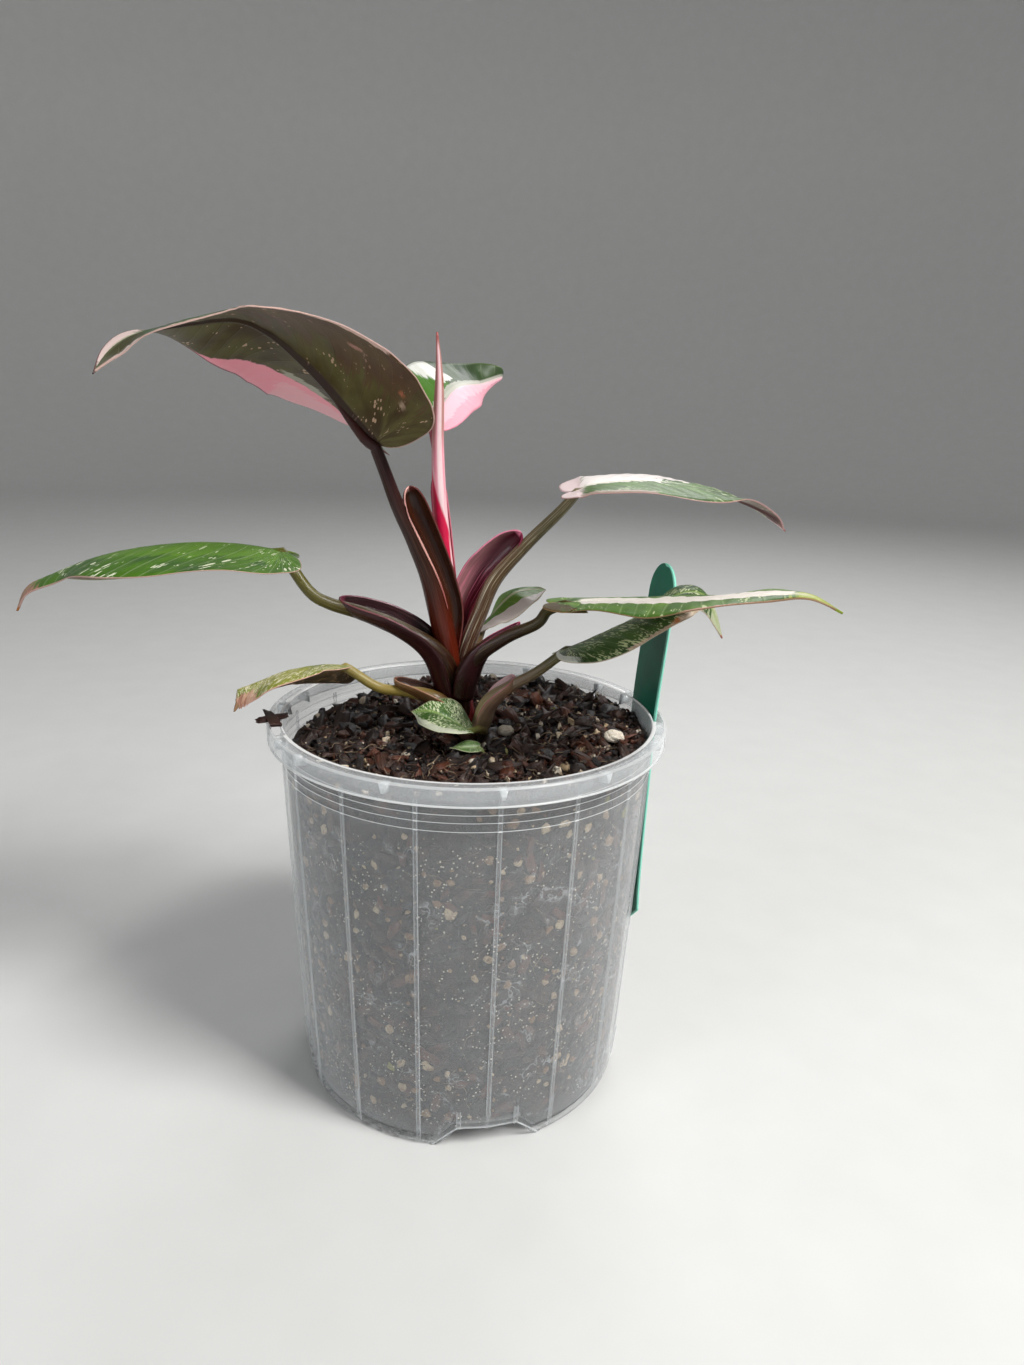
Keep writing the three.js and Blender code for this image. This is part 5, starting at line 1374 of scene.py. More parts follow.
@dataclass
class Pot:
    """The clear nursery pot, in millimetres."""

    rim_radius: float = 60.0
    height: float = 116.5
    ledge_inner: float = 55.9
    ledge: float = 1.2
    skirt_bottom: float = 111.1
    skirt: float = 0.8
    top_radius: float = 55.6
    foot_radius: float = 50.5
    bulge: float = 0.5
    bulge_height: float = 70.0
    wall: float = 0.9
    floor: float = 1.2
    flare_from: float = 112.0
    rings: tuple[float, ...] = (102.7, 105.2, 107.4, 109.9)
    ring_rise: float = 0.16
    ribs: int = 16
    first_angle: float = 9.0
    rib_width: float = 1.2
    rib_rise: float = 0.45
    rib_foot_rise: float = 0.9
    rib_foot_height: float = 13.0
    rib_start: tuple[float, float] = (0.05, 0.45)
    sink: float = 0.1
    post_shift: float = 9.4
    post_width: float = 1.3
    post_rise: float = 0.8
    web_width: float = 2.1
    web_taper: float = 0.25
    lip_radius: float = 0.22
    slot_angles: tuple[float, float] = (99.0, -81.0)
    slot_half_angle: float = 15.5
    drain_angles: tuple[float, float, float] = (9.0, 129.0, -111.0)
    drain_bottom: float = 15.6
    drain_top: float = 8.6
    drain_height: float = 6.7
    drain_from: float = 20.0
    cover_end: float = 50.2
    past_wall: float = 62.0
    turns: int = 240

    def radius(self, z: Array | float) -> Array | float:
        """Outer radius of the body at a height."""
        straight = self.foot_radius + (self.top_radius - self.foot_radius) * z / self.skirt_bottom
        swell = 1 - ((z - self.bulge_height) / self.bulge_height) ** 2
        return straight + self.bulge * np.maximum(0, swell)

    def profile(self) -> Array:
        """The section of the body and rim, from the middle of the underside round to the inside."""
        low = [(0, 0), (20, 0), (36, 0), (49.2, 0), (49.9, 0.25), (50.3, 0.7)]
        wall = [(float(self.radius(z)), z) for z in np.linspace(1.4, 100, 26)]
        for ring in self.rings:
            for step, rise in ((-0.26, 0), (-0.12, 1), (0.12, 1), (0.26, 0)):
                z = ring + step
                wall.append((float(self.radius(z)) + rise * self.ring_rise, z))
        under, top, outer = self.height - self.ledge, self.height, self.rim_radius
        inner_skirt = outer - self.skirt
        rim = [(float(self.radius(self.flare_from)), self.flare_from), (56.0, under - 0.3), (56.4, under),
               (inner_skirt - 0.2, under), (inner_skirt, under - 0.2),
               (inner_skirt, self.skirt_bottom + 0.2),
               (inner_skirt + 0.15, self.skirt_bottom), (outer - 0.15, self.skirt_bottom),
               (outer, self.skirt_bottom + 0.2), (outer, top - 0.7), (outer - 0.2, top - 0.2),
               (outer - 0.7, top), (58.0, top), (self.ledge_inner + 0.3, top), (self.ledge_inner, top - 0.1),
               (55.65, top - 0.45), (55.5, top - 1.0)]
        inside = [(float(self.radius(z)) - self.wall, z) for z in np.linspace(self.flare_from, 3, 14)]
        floor = [(47.5, self.floor + 0.3), (46.5, self.floor), (20, self.floor), (0, self.floor)]
        return np.array(low + wall + rim + inside + floor, dtype=float)

    def body(self) -> Piece:
        """Turns the profile and cuts the drains and the label slots."""
        profile = self.profile()
        angle = np.linspace(0, 2 * np.pi, self.turns, endpoint=False)
        middle = profile[1:-1]
        rings = np.stack([middle[:, :1] * np.cos(angle), middle[:, :1] * np.sin(angle),
                          np.broadcast_to(middle[:, 1:], (len(middle), self.turns))], axis=-1)
        points = np.vstack([rings.reshape(-1, 3), [[0, 0, 0], [0, 0, profile[-1, 1]]]])
        quads = grid_quads(len(middle) - 1, self.turns, wrap=True)
        faces = [tuple(q) for q in quads.tolist()]
        foot, top, last = len(points) - 2, len(points) - 1, (len(middle) - 1) * self.turns
        for k in range(self.turns):
            n = (k + 1) % self.turns
            faces.append((foot, n, k))
            faces.append((top, last + k, last + n))
        piece = new_piece("pot_body", points * MM, faces)
        self.channel(piece, 1.0, self.drain_from, self.cover_end, "UNION")
        self.channel(piece, 0.0, self.drain_from - 2, self.past_wall)
        boolean(piece, [self.slot_cutter(a) for a in self.slot_angles], "DIFFERENCE")
        return piece

    def channel(self, piece: Piece, grow: float, start: float, end: float, how: str = "DIFFERENCE") -> None:
        """Cuts the drain channels out of a piece, or joins the covers over them to it."""
        boolean(piece, [self.drain(a, grow, start, end) for a in self.drain_angles], how)

    def turned(self, points: Array, angle: float) -> Array:
        """Points drawn for the front of the pot, turned to an angle round it, in metres."""
        turn = Matrix.Rotation(math.radians(angle), 3, "Z")
        return np.array([turn @ Vector(p) for p in points]) * MM

    def drain(self, angle: float, grow: float, start: float, end: float) -> Piece:
        """A block with the section of a drain channel.

        Args:
            angle: where it lies round the pot.
            grow: how much wider and higher than the channel it is.
            start: how far from the middle it begins.
            end: how far from the middle it ends.

        Returns:
            The block.
        """
        low = 0.05 if grow else -1.0
        bm = bmesh.new()
        for share in np.linspace(-1, 1, 9):
            for half, z in ((self.drain_bottom, low), (self.drain_top, self.drain_height + grow)):
                x = share * (half + grow)
                for y in (-start, -math.sqrt(end**2 - x**2)):
                    bm.verts.new(self.turned([(x, y, z)], angle)[0])
        bmesh.ops.convex_hull(bm, input=bm.verts)
        return labelled("drain_tool", bm)

    def slot_cutter(self, angle: float) -> Piece:
        """The curved block that opens a label slot in the ledge."""
        steps = 12
        turn = np.radians(np.linspace(-self.slot_half_angle, self.slot_half_angle, steps + 1))
        points = np.array([(r * math.sin(t), -r * math.cos(t), z) for t in turn
                           for r, z in ((56.2, 113.5), (59.1, 113.5), (59.1, 118), (56.2, 118))])
        faces = [(0, 1, 2, 3), tuple(4 * steps + k for k in (3, 2, 1, 0))]
        faces += [(4 * i + k, 4 * i + 4 + k, 4 * i + 4 + (k + 1) % 4, 4 * i + (k + 1) % 4)
                  for i in range(steps) for k in range(4)]
        return new_piece("slot_tool", self.turned(points, angle), faces)

    def slab(self, outline: Sequence[tuple[float, float]], width: float, taper: float = 1.0) -> Piece:
        """A radial slab with eased edges at the front of the pot.

        Args:
            outline: its (radius, height) corners, turning left seen from +X.
            width: its thickness at the top.
            taper: its thickness at the bottom, as a share of that at the top.

        Returns:
            The slab, as one closed mesh.
        """
        count = len(outline)
        sides = np.array([-0.5, -0.42, -0.2, 0.2, 0.42, 0.5]) * width
        ease = (0.16, 0.03, 0, 0, 0.03, 0.16)
        points = np.array([(x, -(r - lower if k < count / 2 else r), z) for x, lower in zip(sides, ease)
                           for k, (r, z) in enumerate(outline)])
        rise = (points[:, 2] - points[:, 2].min()) / np.ptp(points[:, 2])
        points[:, 0] *= taper + (1 - taper) * rise
        last = (len(sides) - 1) * count
        faces = [tuple(range(count)), tuple(range(last + count - 1, last - 1, -1))]
        across = grid_quads(len(sides) - 1, count, wrap=True)
        faces += across[:, [0, 3, 2, 1]].tolist()
        piece = new_piece("slab", points * MM, faces)
        set_attribute(piece, "local", points)
        face_out(piece)
        return piece

    def ring_of(self, name: str, piece: Piece, count: int, first: float, clear: float,
                skin: Skin) -> Piece:
        """Repeats a piece evenly round the pot.

        Args:
            name: the object's name.
            piece: what to repeat, standing at the front.
            count: how many places there are.
            first: the angle of the first.
            clear: an angle, and the one opposite, where none stands; NOWHERE for none.
            skin: their material.

        Returns:
            All the copies as one object.
        """
        g = Growth(name, Piece=("Object", piece), Count=("Int", count), Material=("Material", skin),
                   First_Turn=("Float", math.radians(first)), Clear_Turn=("Float", math.radians(clear)))
        seats = g.node("GeometryNodeMeshLine", {"Count": g.given("Count"), "Offset": (0, 0, 0)})
        pitch = g.maths("DIVIDE", 2 * math.pi, g.given("Count"))
        turn = g.maths("MULTIPLY_ADD", g.node("GeometryNodeInputIndex"), pitch, g.given("First Turn"))
        off = g.maths("SUBTRACT", turn, g.given("Clear Turn"))
        near = g.maths("LESS_THAN", g.maths("ABSOLUTE", g.maths("SINE", off)), 0.01)
        drop = g.maths("MULTIPLY", near, g.maths("LESS_THAN", g.given("Clear Turn"), math.pi))
        marked = g.node("GeometryNodeStoreNamedAttribute", {0: seats, "Name": "turn", "Value": turn},
                        data_type="FLOAT", domain="POINT")
        kept = g.node("GeometryNodeDeleteGeometry", {0: marked, "Selection": drop})
        shape = g.node("GeometryNodeObjectInfo", {"Object": g.given("Piece")}, "Geometry")
        turned = g.node("GeometryNodeInputNamedAttribute", {"Name": "turn"}, data_type="FLOAT")
        way = g.node("ShaderNodeCombineXYZ", {2: turned})
        copies = g.node("GeometryNodeInstanceOnPoints", {"Points": kept, "Instance": shape, "Rotation": way})
        host = g.grow(new_piece(name, np.zeros((1, 3)), []), copies)
        bpy.data.objects.remove(piece)
        return host

    def upright(self, heights: Array, rise: Array | float) -> list[tuple[float, float]]:
        """The section of a post on the wall: up at a rise over it, and down again just inside it."""
        outer = [(float(r), float(z)) for r, z in zip(self.radius(heights) + rise, heights)]
        inner = [(float(r), float(z)) for r, z in zip(self.radius(heights) - self.sink, heights)]
        return outer + inner[::-1]

    def build(self) -> None:
        """Makes the pot."""
        clear = ClearPlastic().build()
        thick = ClearPlastic("clear_plastic_ribs", 0.09, 0.04, 0.2, 0.34).build()
        milky = ClearPlastic("clear_plastic_webs", 0.85, 0.15, 0.3, 1.0).build()
        adopt(self.body(), clear, "clear_plastic", "pot")
        foot = self.rib_foot_height
        heights = np.array([1.2, 3, foot - 0.3, foot, 40, 70, 95, self.skirt_bottom])
        rise = np.where(heights < foot, self.rib_foot_rise, self.rib_rise)
        rise[:2] = self.rib_start
        rib = self.slab(self.upright(heights, rise), self.rib_width)
        ribs = self.ring_of("pot_ribs", rib, self.ribs, self.first_angle, NOWHERE, thick)
        self.channel(ribs, 0.0, self.drain_from, self.past_wall)
        adopt(ribs, thick, "clear_plastic")
        mouth = np.array([(-self.drain_bottom, 0.3), (-self.drain_top - 0.6, self.drain_height - 0.4),
                          (-self.drain_top + 0.6, self.drain_height), (0, self.drain_height)])
        mouth = np.vstack([mouth, mouth[-2::-1] * (-1, 1)])
        bead = [(x, -math.sqrt(float(self.radius(z) - 0.2) ** 2 - x**2), z) for x, z in mouth]
        lip = Stalk("lip", tuple(bead), (self.lip_radius,) * 2, sides=8).build()
        adopt(self.ring_of("drain_lips", lip, 3, self.first_angle, NOWHERE, milky), milky, "clear_plastic")
        foot_heights = np.linspace(self.drain_height + 0.2, self.drain_height + 6, 4)
        for name, shift in (("drain_ribs_left", -self.post_shift), ("drain_ribs_right", self.post_shift)):
            post = self.slab(self.upright(foot_heights, self.post_rise), self.post_width)
            posts = self.ring_of(name, post, 3, self.first_angle + shift, NOWHERE, thick)
            adopt(posts, thick, "clear_plastic")
        reach, under = self.rim_radius - self.skirt + 0.1, self.height - self.ledge + 0.1
        web = [(55.5, self.flare_from), (reach, self.flare_from + 0.8), (reach, under), (56.2, under)]
        past, slot = self.slot_half_angle + 0.6, self.slot_angles[0]
        for name, count, first, avoid in (("pot_webs", 12, self.first_angle, slot),
                                          ("slot_webs_left", 2, slot - past, NOWHERE),
                                          ("slot_webs_right", 2, slot + past, NOWHERE)):
            piece = self.slab(web, self.web_width, self.web_taper)
            adopt(self.ring_of(name, piece, count, first, avoid, milky), milky, "clear_plastic")


@dataclass(frozen=True)
class ClearPlastic:
    """Hazy moulded polypropylene: thin walls let the soil show; thick edges look white, and their bright
    lines are partly painted highlights.
    """

    name: str = "clear_plastic"
    wall_haze: float = 0.125
    rim_haze: float = 0.1
    sheen: float = 0.4
    # How strongly the side edges of ribs and webs carry painted highlights.
    edges: float = 0.0

    def build(self) -> Skin:
        """Makes the material, which grows whiter at the rim and the foot, with painted highlights as white
        lines at the rim's edges and the rings.
        """
        s = Shade(self.name)
        place = s.place()
        x, y, z = s.split(place)
        radius = ((x * x + y * y) ** 0.5) * 1000.0
        z = z * 1000.0
        rim = z.ramp(110.0, 112.0)
        # Painted highlights: white lines along the inner lip, the outer top edge, the skirt's lower edge and
        # the rings, partly the whiter thick plastic.
        lip = z.ramp(115.9, 116.3) * radius.ramp(57.2, 56.9)
        outer_edge = radius.ramp(59.2, 59.4) * z.ramp(115.6, 116.0) * 0.45
        skirt_edge = radius.ramp(59.0, 59.2) * z.ramp(111.55, 111.25) * z.ramp(110.9, 111.0)
        rings = z.band(35.85, 36.15, 0.2) * 0.3
        for height in Pot.rings:
            rings = rings.higher(z.band(height - 0.09, height + 0.09, 0.04) * radius.ramp(54.9, 55.1))
        foot = z.ramp(0.5, 0.2) * radius.ramp(49.3, 49.7)
        line = lip.higher(outer_edge).higher(skirt_edge).higher(rings * 0.95)
        cloud = s.noise(place, 60.0, 3.0)
        haze = self.wall_haze * (0.7 + cloud * 0.6) + rim * self.rim_haze
        haze = haze.higher(line * 0.95).higher(foot * 0.5)
        dust = s.cells(place, 620.0).ramp(0.18, 0.12) * s.noise(place, 90.0, 2.0).ramp(0.44, 0.56)
        hair = abs(s.noise(place, 75.0, 3.0, 0.6) - 0.5).ramp(0.010, 0.003)
        hair = hair * s.noise(place, 140.0, 1.0).ramp(0.50, 0.62)
        inside = z.ramp(100.0, 96.0) * z.ramp(4.0, 8.0)
        haze = haze + (dust * 0.6 + hair * 0.2) * inside
        # Painted shade: blotchy dark brown within 8 mm of the floor on the pot's left side, which also makes
        # the wall less clear there.
        painted_foot_shade = z.ramp(8.0, 0.0) * s.noise(place, 420.0, 4.0, 0.7).ramp(0.52, 0.60) * x.ramp(0.03, -0.03)
        s.colour = s.mix(dust * inside, (0.76, 0.79, 0.81), "e8e0d0")
        s.over(line, (0.95, 0.96, 0.96))
        s.over(painted_foot_shade * 0.9, "3a2e26")
        # Painted highlights along both side edges of each rib and web.
        if self.edges:
            across, _, _ = s.attribute("local")
            haze = haze.higher(abs(across).ramp(0.36, 0.46) * self.edges)
        sheer = s.node("ShaderNodeLayerWeight", {"Blend": 0.5}, out="Facing")
        haze = haze + sheer ** 3.0 * self.sheen
        grain = s.noise(place, 900.0, 2.0)
        return s.finish(0.2 + cloud * 0.12, grain, 0.012, Alpha=(haze + painted_foot_shade * 0.6).clamped(),
                        Specular_IOR_Level=0.8)


# ---- loose pieces


def shard(name: str, size: Point, seed: int, corners: int = 14, rough: float = 0.07) -> Piece:
    """A broken flake of bark: the hull of random corners, with a fibrous face.

    Args:
        name: the object's name.
        size: its length, width and thickness in millimetres.
        seed: another number gives another flake.
        corners: how many random corners it starts from.
        rough: how far its face strays, as a share of its size.

    Returns:
        A closed mesh round the origin, with its own place stored as "local".
    """
    random = np.random.default_rng(seed)
    bm = bmesh.new()
    for corner in random.uniform(-0.5, 0.5, (corners, 3)):
        corner = np.sign(corner) * np.abs(2 * corner) ** 0.45 / 2
        bm.verts.new(corner)
    hull = bmesh.ops.convex_hull(bm, input=bm.verts)
    bmesh.ops.delete(bm, geom=[e for e in hull["geom_interior"] if isinstance(e, bmesh.types.BMVert)],
                     context="VERTS")
    bmesh.ops.subdivide_edges(bm, edges=bm.edges, cuts=1, use_grid_fill=True)
    bmesh.ops.recalc_face_normals(bm, faces=bm.faces)
    for vert in bm.verts:
        vert.co += Vector(random.normal(0, rough, 3))
        vert.co = Vector(c * s for c, s in zip(vert.co, size)) * MM
    return labelled(name, bm)


def crumb(name: str, size: Point, seed: int, detail: int = 2, rough: float = 0.16) -> Piece:
    """A rough round grain, such as a crumb of peat or a grain of perlite.

    Args:
        name: the object's name.
        size: its half sizes in millimetres.
        seed: another number gives another grain.
        detail: how often the ball's faces are divided.
        rough: how far its face strays, as a share of its size.

    Returns:
        A closed mesh round the origin, with its own place stored as "local".
    """
    bm = bmesh.new()
    bmesh.ops.create_icosphere(bm, subdivisions=detail, radius=1.0)
    shift = Vector((seed * 3.7, seed * 1.3, 0.0))
    for vert in bm.verts:
        lumps = noise.noise(vert.co * 1.3 + shift) * 1.6 + noise.noise(vert.co * 3.6 + shift) * 0.9
        pits = noise.noise(vert.co * 8.0 + shift) * (0.6 if detail > 2 else 0.0)
        vert.co = Vector(c * s for c, s in zip(vert.co, size)) * (1 + rough * (lumps + pits)) * MM
    return labelled(name, bm)


@dataclass
class Scatter:
    """Loose pieces strewn over a sheet with Geometry Nodes.

    spacing_mm: the least distance between two.
    scale: smallest and largest scale; bias above 1 makes large ones rare.
    stretch: how far each of the three sizes strays from the scale.
    lean: how far they lean, in degrees.
    lift_mm: how far above the sheet their middles lie.
    """

    MOST = 4e6

    name: str
    spacing_mm: float
    scale: tuple[float, float]
    bias: float = 1.0
    stretch: float = 0.2
    lean: float = 25.0
    lift_mm: float = 0.0
    seed: int = 1

    def build(self, sheet: Piece, shapes: Sequence[Piece],
              skin: Skin) -> Piece:
        """Strews the shapes.

        Args:
            sheet: the sheet, which is replaced by the pieces.
            shapes: the pieces to pick from; they stay.
            skin: their material.

        Returns:
            All the pieces as one object, with a random number for each as "pick".
        """
        bag = bpy.data.collections.new(f"{self.name}_shapes")
        for shape in shapes:
            bag.objects.link(shape)
        g = Growth(self.name, Shapes=("Collection", bag), Spacing=("Float", self.spacing_mm * MM),
                   Least=("Float", self.scale[0]), Most=("Float", self.scale[1]),
                   Bias=("Float", self.bias), Stretch=("Float", self.stretch),
                   Lean=("Float", math.radians(self.lean)), Lift=("Float", self.lift_mm * MM),
                   Seed=("Int", self.seed), Material=("Material", skin))
        seats = g.node("GeometryNodeDistributePointsOnFaces", {
            "Mesh": g.given("Geometry"), "Distance Min": g.given("Spacing"), "Density Max": self.MOST,
            "Seed": g.given("Seed")}, distribute_method="POISSON")
        pick = self.random(g, 0.0, 1.0, 11)
        marked = g.node("GeometryNodeStoreNamedAttribute", {0: seats, "Name": "pick", "Value": pick},
                        data_type="FLOAT", domain="POINT")
        normal = seats.node.outputs["Normal"]
        step = g.node("ShaderNodeVectorMath", {0: normal, "Scale": g.given("Lift")}, operation="SCALE")
        raised = g.node("GeometryNodeSetPosition", {"Geometry": marked, "Offset": step})
        leans = [g.maths("MULTIPLY", self.random(g, -1.0, 1.0, 21 + k), g.given("Lean")) for k in range(2)]
        own = g.node("ShaderNodeCombineXYZ", {0: leans[0], 1: leans[1], 2: self.random(g, 0.0, 6.2832, 31)})
        turned = g.node("FunctionNodeRotateRotation", {0: seats.node.outputs["Rotation"], 1: own},
                        rotation_space="LOCAL")
        grade = g.maths("POWER", self.random(g, 0.0, 1.0, 41), g.given("Bias"))
        span = g.maths("SUBTRACT", g.given("Most"), g.given("Least"))
        size = g.maths("MULTIPLY_ADD", grade, span, g.given("Least"))
        parts = {}
        for k in range(3):
            stray = g.maths("MULTIPLY_ADD", self.random(g, -1.0, 1.0, 51 + k), g.given("Stretch"), 1.0)
            parts[k] = g.maths("MULTIPLY", size, stray)
        scales = g.node("ShaderNodeCombineXYZ", parts)
        shapes_in = g.node("GeometryNodeCollectionInfo", {
            "Collection": g.given("Shapes"), "Separate Children": True, "Reset Children": True})
        copies = g.node("GeometryNodeInstanceOnPoints", {
            "Points": raised, "Instance": shapes_in, "Pick Instance": True, "Rotation": turned,
            "Scale": scales})
        g.grow(sheet, copies)
        bpy.data.collections.remove(bag)
        return sheet

    def random(self, growth: Growth, low: float, high: float, salt: int) -> Socket:
        """A random number for each piece, the same at every run."""
        inputs = {2: low, 3: high, "Seed": salt + 100 * self.seed}
        return growth.node("FunctionNodeRandomValue", inputs, 1, data_type="FLOAT")


def hold_inside(piece: Piece, limit: Callable[[Array], Array]) -> None:
    """Pushes points of a piece that lie beyond a round wall back to it.

    Args:
        piece: the piece.
        limit: the wall's radius at heights, in millimetres.
    """
    mesh = piece.data
    places = vertices(mesh).astype(float)
    reach = np.hypot(places[:, 0], places[:, 1])
    most = limit(places[:, 2] / MM) * MM
    places[:, :2] *= np.minimum(1.0, most / np.maximum(reach, 1e-9))[:, None]
    mesh.vertices.foreach_set("co", places.ravel())
    mesh.update()


@dataclass(frozen=True)
class SoilSkin:
    """Dark peat between the chips, finely grained, with pale specks of perlite dust."""

    name: str = "soil"
    dark: str = "181210"
    warm: str = "3a2a22"
    dust: str = "a89a86"

    def build(self) -> Skin:
        """Makes the material."""
        s = Shade(self.name)
        place = s.place()
        clods = s.noise(place, 260.0, 5.0, 0.7)
        s.colour = s.mix(clods.ramp(0.4, 0.62), self.dark, self.warm)
        x, y, z = s.split(place)
        strands = s.noise(s.join(x * 900.0, y * 900.0, z * 260.0), 1.0, 3.0)
        s.over(strands.ramp(0.62, 0.7) * 0.5, "5d4a3a")
        cells = s.cells(place, 900.0)
        dust = cells.ramp(0.22, 0.14) * s.noise(place, 420.0, 1.0).ramp(0.56, 0.64)
        s.over(dust * 0.8, self.dust)
        return s.finish(0.85, clods, 1.2)


@dataclass(frozen=True)
class BarkSkin:
    """Composted bark: near black to red-brown flakes with fibres along them."""

    name: str = "bark"
    dark: str = "1b1311"
    brown: str = "40291f"
    red: str = "59301f"
    pale: str = "7c5c46"
    wet: float = 0.42

    def build(self) -> Skin:
        """Makes the material, which reads each flake's number and its own place."""
        s = Shade(self.name)
        pick, _, _ = s.attribute("pick")
        x, y, z = s.attribute("local")
        fibre = s.noise(s.join(x * 0.35 + pick * 40.0, y * 2.6, z * 2.6), 1.0, 4.0, 0.6)
        blotch = s.noise(s.join(x * 0.5, y * 0.5, pick * 60.0), 1.0, 3.0)
        s.colour = s.mix(pick.ramp(0.1, 0.75), self.dark, self.brown)
        s.over((pick + (blotch - 0.5)).ramp(0.62, 1.0), self.red)
        s.shade(0.45 + fibre * 1.15)
        worn = fibre.ramp(0.60, 0.70) * pick.ramp(0.3, 0.9)
        s.over(worn * 0.45, self.pale)
        return s.finish(self.wet + (blotch - 0.5) * 0.3, fibre, 0.5)


@dataclass(frozen=True)
class PerliteSkin:
    """Chalky expanded glass: cream white, pitted, dusted with soil."""

    name: str = "perlite"
    pale: str = "efe5d4"
    stained: str = "b79e7c"
    pit: str = "5a4636"
    dusty: float = 0.5
    mossy: str = "8a8656"

    def build(self) -> Skin:
        """Makes the material, which reads each grain's number and its own place."""
        s = Shade(self.name)
        pick, _, _ = s.attribute("pick")
        x, y, z = s.attribute("local")
        where = s.join(x + pick * 30.0, y, z)
        stain = s.noise(where, 0.9, 3.0)
        s.colour = s.mix((stain + pick * 0.5).ramp(0.45, 0.95), self.pale, self.stained)
        s.over(pick.ramp(0.965, 0.97), self.mossy)
        pits = s.cells(where, 2.6).ramp(0.30, 0.12)
        s.over(pits * self.dusty, self.pit)
        grime = s.noise(where, 2.1, 4.0, 0.7).ramp(0.56, 0.68)
        s.over(grime * self.dusty, self.pit)
        return s.finish(0.8, 1.0 - pits, 0.6)


@dataclass(frozen=True)
class FibreSkin:
    """Dry roots and peat fibres."""

    name: str = "fibres"
    pale: str = "a08c72"
    brown: str = "5c4636"

    def build(self) -> Skin:
        """Makes the material."""
        s = Shade(self.name)
        place = s.place()
        patch = s.noise(place, 180.0, 3.0)
        s.colour = s.mix(patch.ramp(0.4, 0.6), self.brown, self.pale)
        return s.finish(0.7, s.noise(place, 2500.0, 2.0), 0.05)


@dataclass
class SoilBed:
    """The potting mix: a rough plug, bark flakes, crumbs, perlite, fibres and the roots at the wall.

    hollows: where fewer flakes lie, round small leaves and lumps: x, y, size and depth.
    """

    pot: Pot
    level: float = 109.5
    left_dip: float = 4.5
    right_rise: float = 1.5
    back_rise: float = 2.0
    roughness: float = 0.8
    gap: float = 0.35
    rings: int = 64
    turns: int = 180
    root_count: int = 210
    root_thickness: tuple[float, float] = (0.05, 0.13)
    root_step: float = 1.6
    hollows: tuple[tuple[float, float, float, float], ...] = (
        (-0.5, -20.5, 6, 1.6), (11.4, -5, 4.5, 1.4), (43.5, -13, 4.5, 1.0))

    def height(self, x: Array, y: Array) -> Array:
        """Height of the surface at places, in millimetres."""
        tilt = np.where(x < 0, self.left_dip, self.right_rise) * x / self.pot.foot_radius
        back = self.back_rise * np.maximum(0, y) / self.pot.foot_radius
        wave = np.sin(x * 0.31 + 1.2) * np.cos(y * 0.27) + 0.6 * np.sin(x * 0.13 - y * 0.41)
        return self.level + tilt + back + self.roughness * wave

    def side(self, z: Array | float) -> Array | float:
        """Radius of the plug at a height."""
        return self.pot.radius(z) - self.pot.wall - self.gap

    def top(self, reach: float, rings: int, turns: int, lower: float = 0.0) -> tuple[Array, Array]:
        """Points and quads of the surface out to a radius, ring by ring from the middle."""
        radius, angle = np.linspace(0.02, 1, rings + 1) * reach, np.arange(turns) * 2 * np.pi / turns
        r, a = (x.ravel() for x in np.meshgrid(radius, angle, indexing="ij"))
        x, y = r * np.cos(a), r * np.sin(a)
        return np.column_stack([x, y, self.height(x, y) - lower]), grid_quads(rings, turns, wrap=True)

    def plug(self) -> Piece:
        """The dark mass of the mix, which leaves the drain channels free."""
        edge = float(self.side(self.level))
        points, quads = self.top(edge, self.rings, self.turns)
        rough = np.array([noise.fractal(Vector(p) * 0.35, 0.6, 2.2, 4) for p in points])
        points[:, 2] += np.where(np.hypot(points[:, 0], points[:, 1]) > edge - 0.5, 0, rough * 0.9)
        rim = points[-self.turns:]
        levels = 40
        share = np.linspace(0, 1, levels + 1)[1:, None]
        z = rim[:, 2] * (1 - share) + (self.pot.floor + 0.4) * share
        angle = np.arctan2(rim[:, 1], rim[:, 0])
        wall = np.stack([self.side(z) * np.cos(angle), self.side(z) * np.sin(angle), z], axis=-1)
        wall = wall.reshape(-1, 3)
        grain = np.array([noise.noise(Vector(p) * 0.7) for p in wall])
        wall[:, :2] *= (1 - 0.004 * (1 + grain[:, None]))
        first = len(points) - self.turns
        down = grid_quads(levels, self.turns, wrap=True)[:, ::-1] + first
        points = np.vstack([points, wall, [[0, 0, float(self.height(np.zeros(1), np.zeros(1))[0])]],
                            [[0, 0, self.pot.floor + 0.4]]])
        middle, foot, last = len(points) - 2, len(points) - 1, len(points) - 2 - self.turns
        faces = [tuple(q) for q in np.vstack([quads, down]).tolist()]
        for k in range(self.turns):
            n = (k + 1) % self.turns
            faces.append((middle, k, n))
            faces.append((foot, last + n, last + k))
        piece = new_piece("soil_plug", points * MM, faces)
        face_out(piece)
        self.pot.channel(piece, 1.4, self.pot.drain_from - 1, 60)
        return piece

    def wall_sheet(self, name: str) -> Piece:
        """A sheet just inside the wall, from above the drains to the surface."""
        rows, turns = 30, 96
        heights, angles = np.linspace(9, 106.5, rows + 1), np.arange(turns) * 2 * np.pi / turns
        z, a = (x.ravel() for x in np.meshgrid(heights, angles, indexing="ij"))
        z = np.where(z > 60, z + (self.height(50 * np.cos(a), 50 * np.sin(a)) - 108.5) * (z - 60) / 46.5, z)
        points = np.column_stack([self.side(z) * np.cos(a), self.side(z) * np.sin(a), z])
        return new_piece(name, points * MM, grid_quads(rows, turns, wrap=True))

    def top_sheet(self, name: str, reach: float) -> Piece:
        """The surface out to a radius as an open sheet."""
        points, quads = self.top(reach, 24, 72)
        for x, y, size, depth in self.hollows:
            points[:, 2] -= depth * np.exp(-((points[:, 0] - x) ** 2 + (points[:, 1] - y) ** 2) / size**2)
        return new_piece(name, points * MM, quads[:, ::-1])

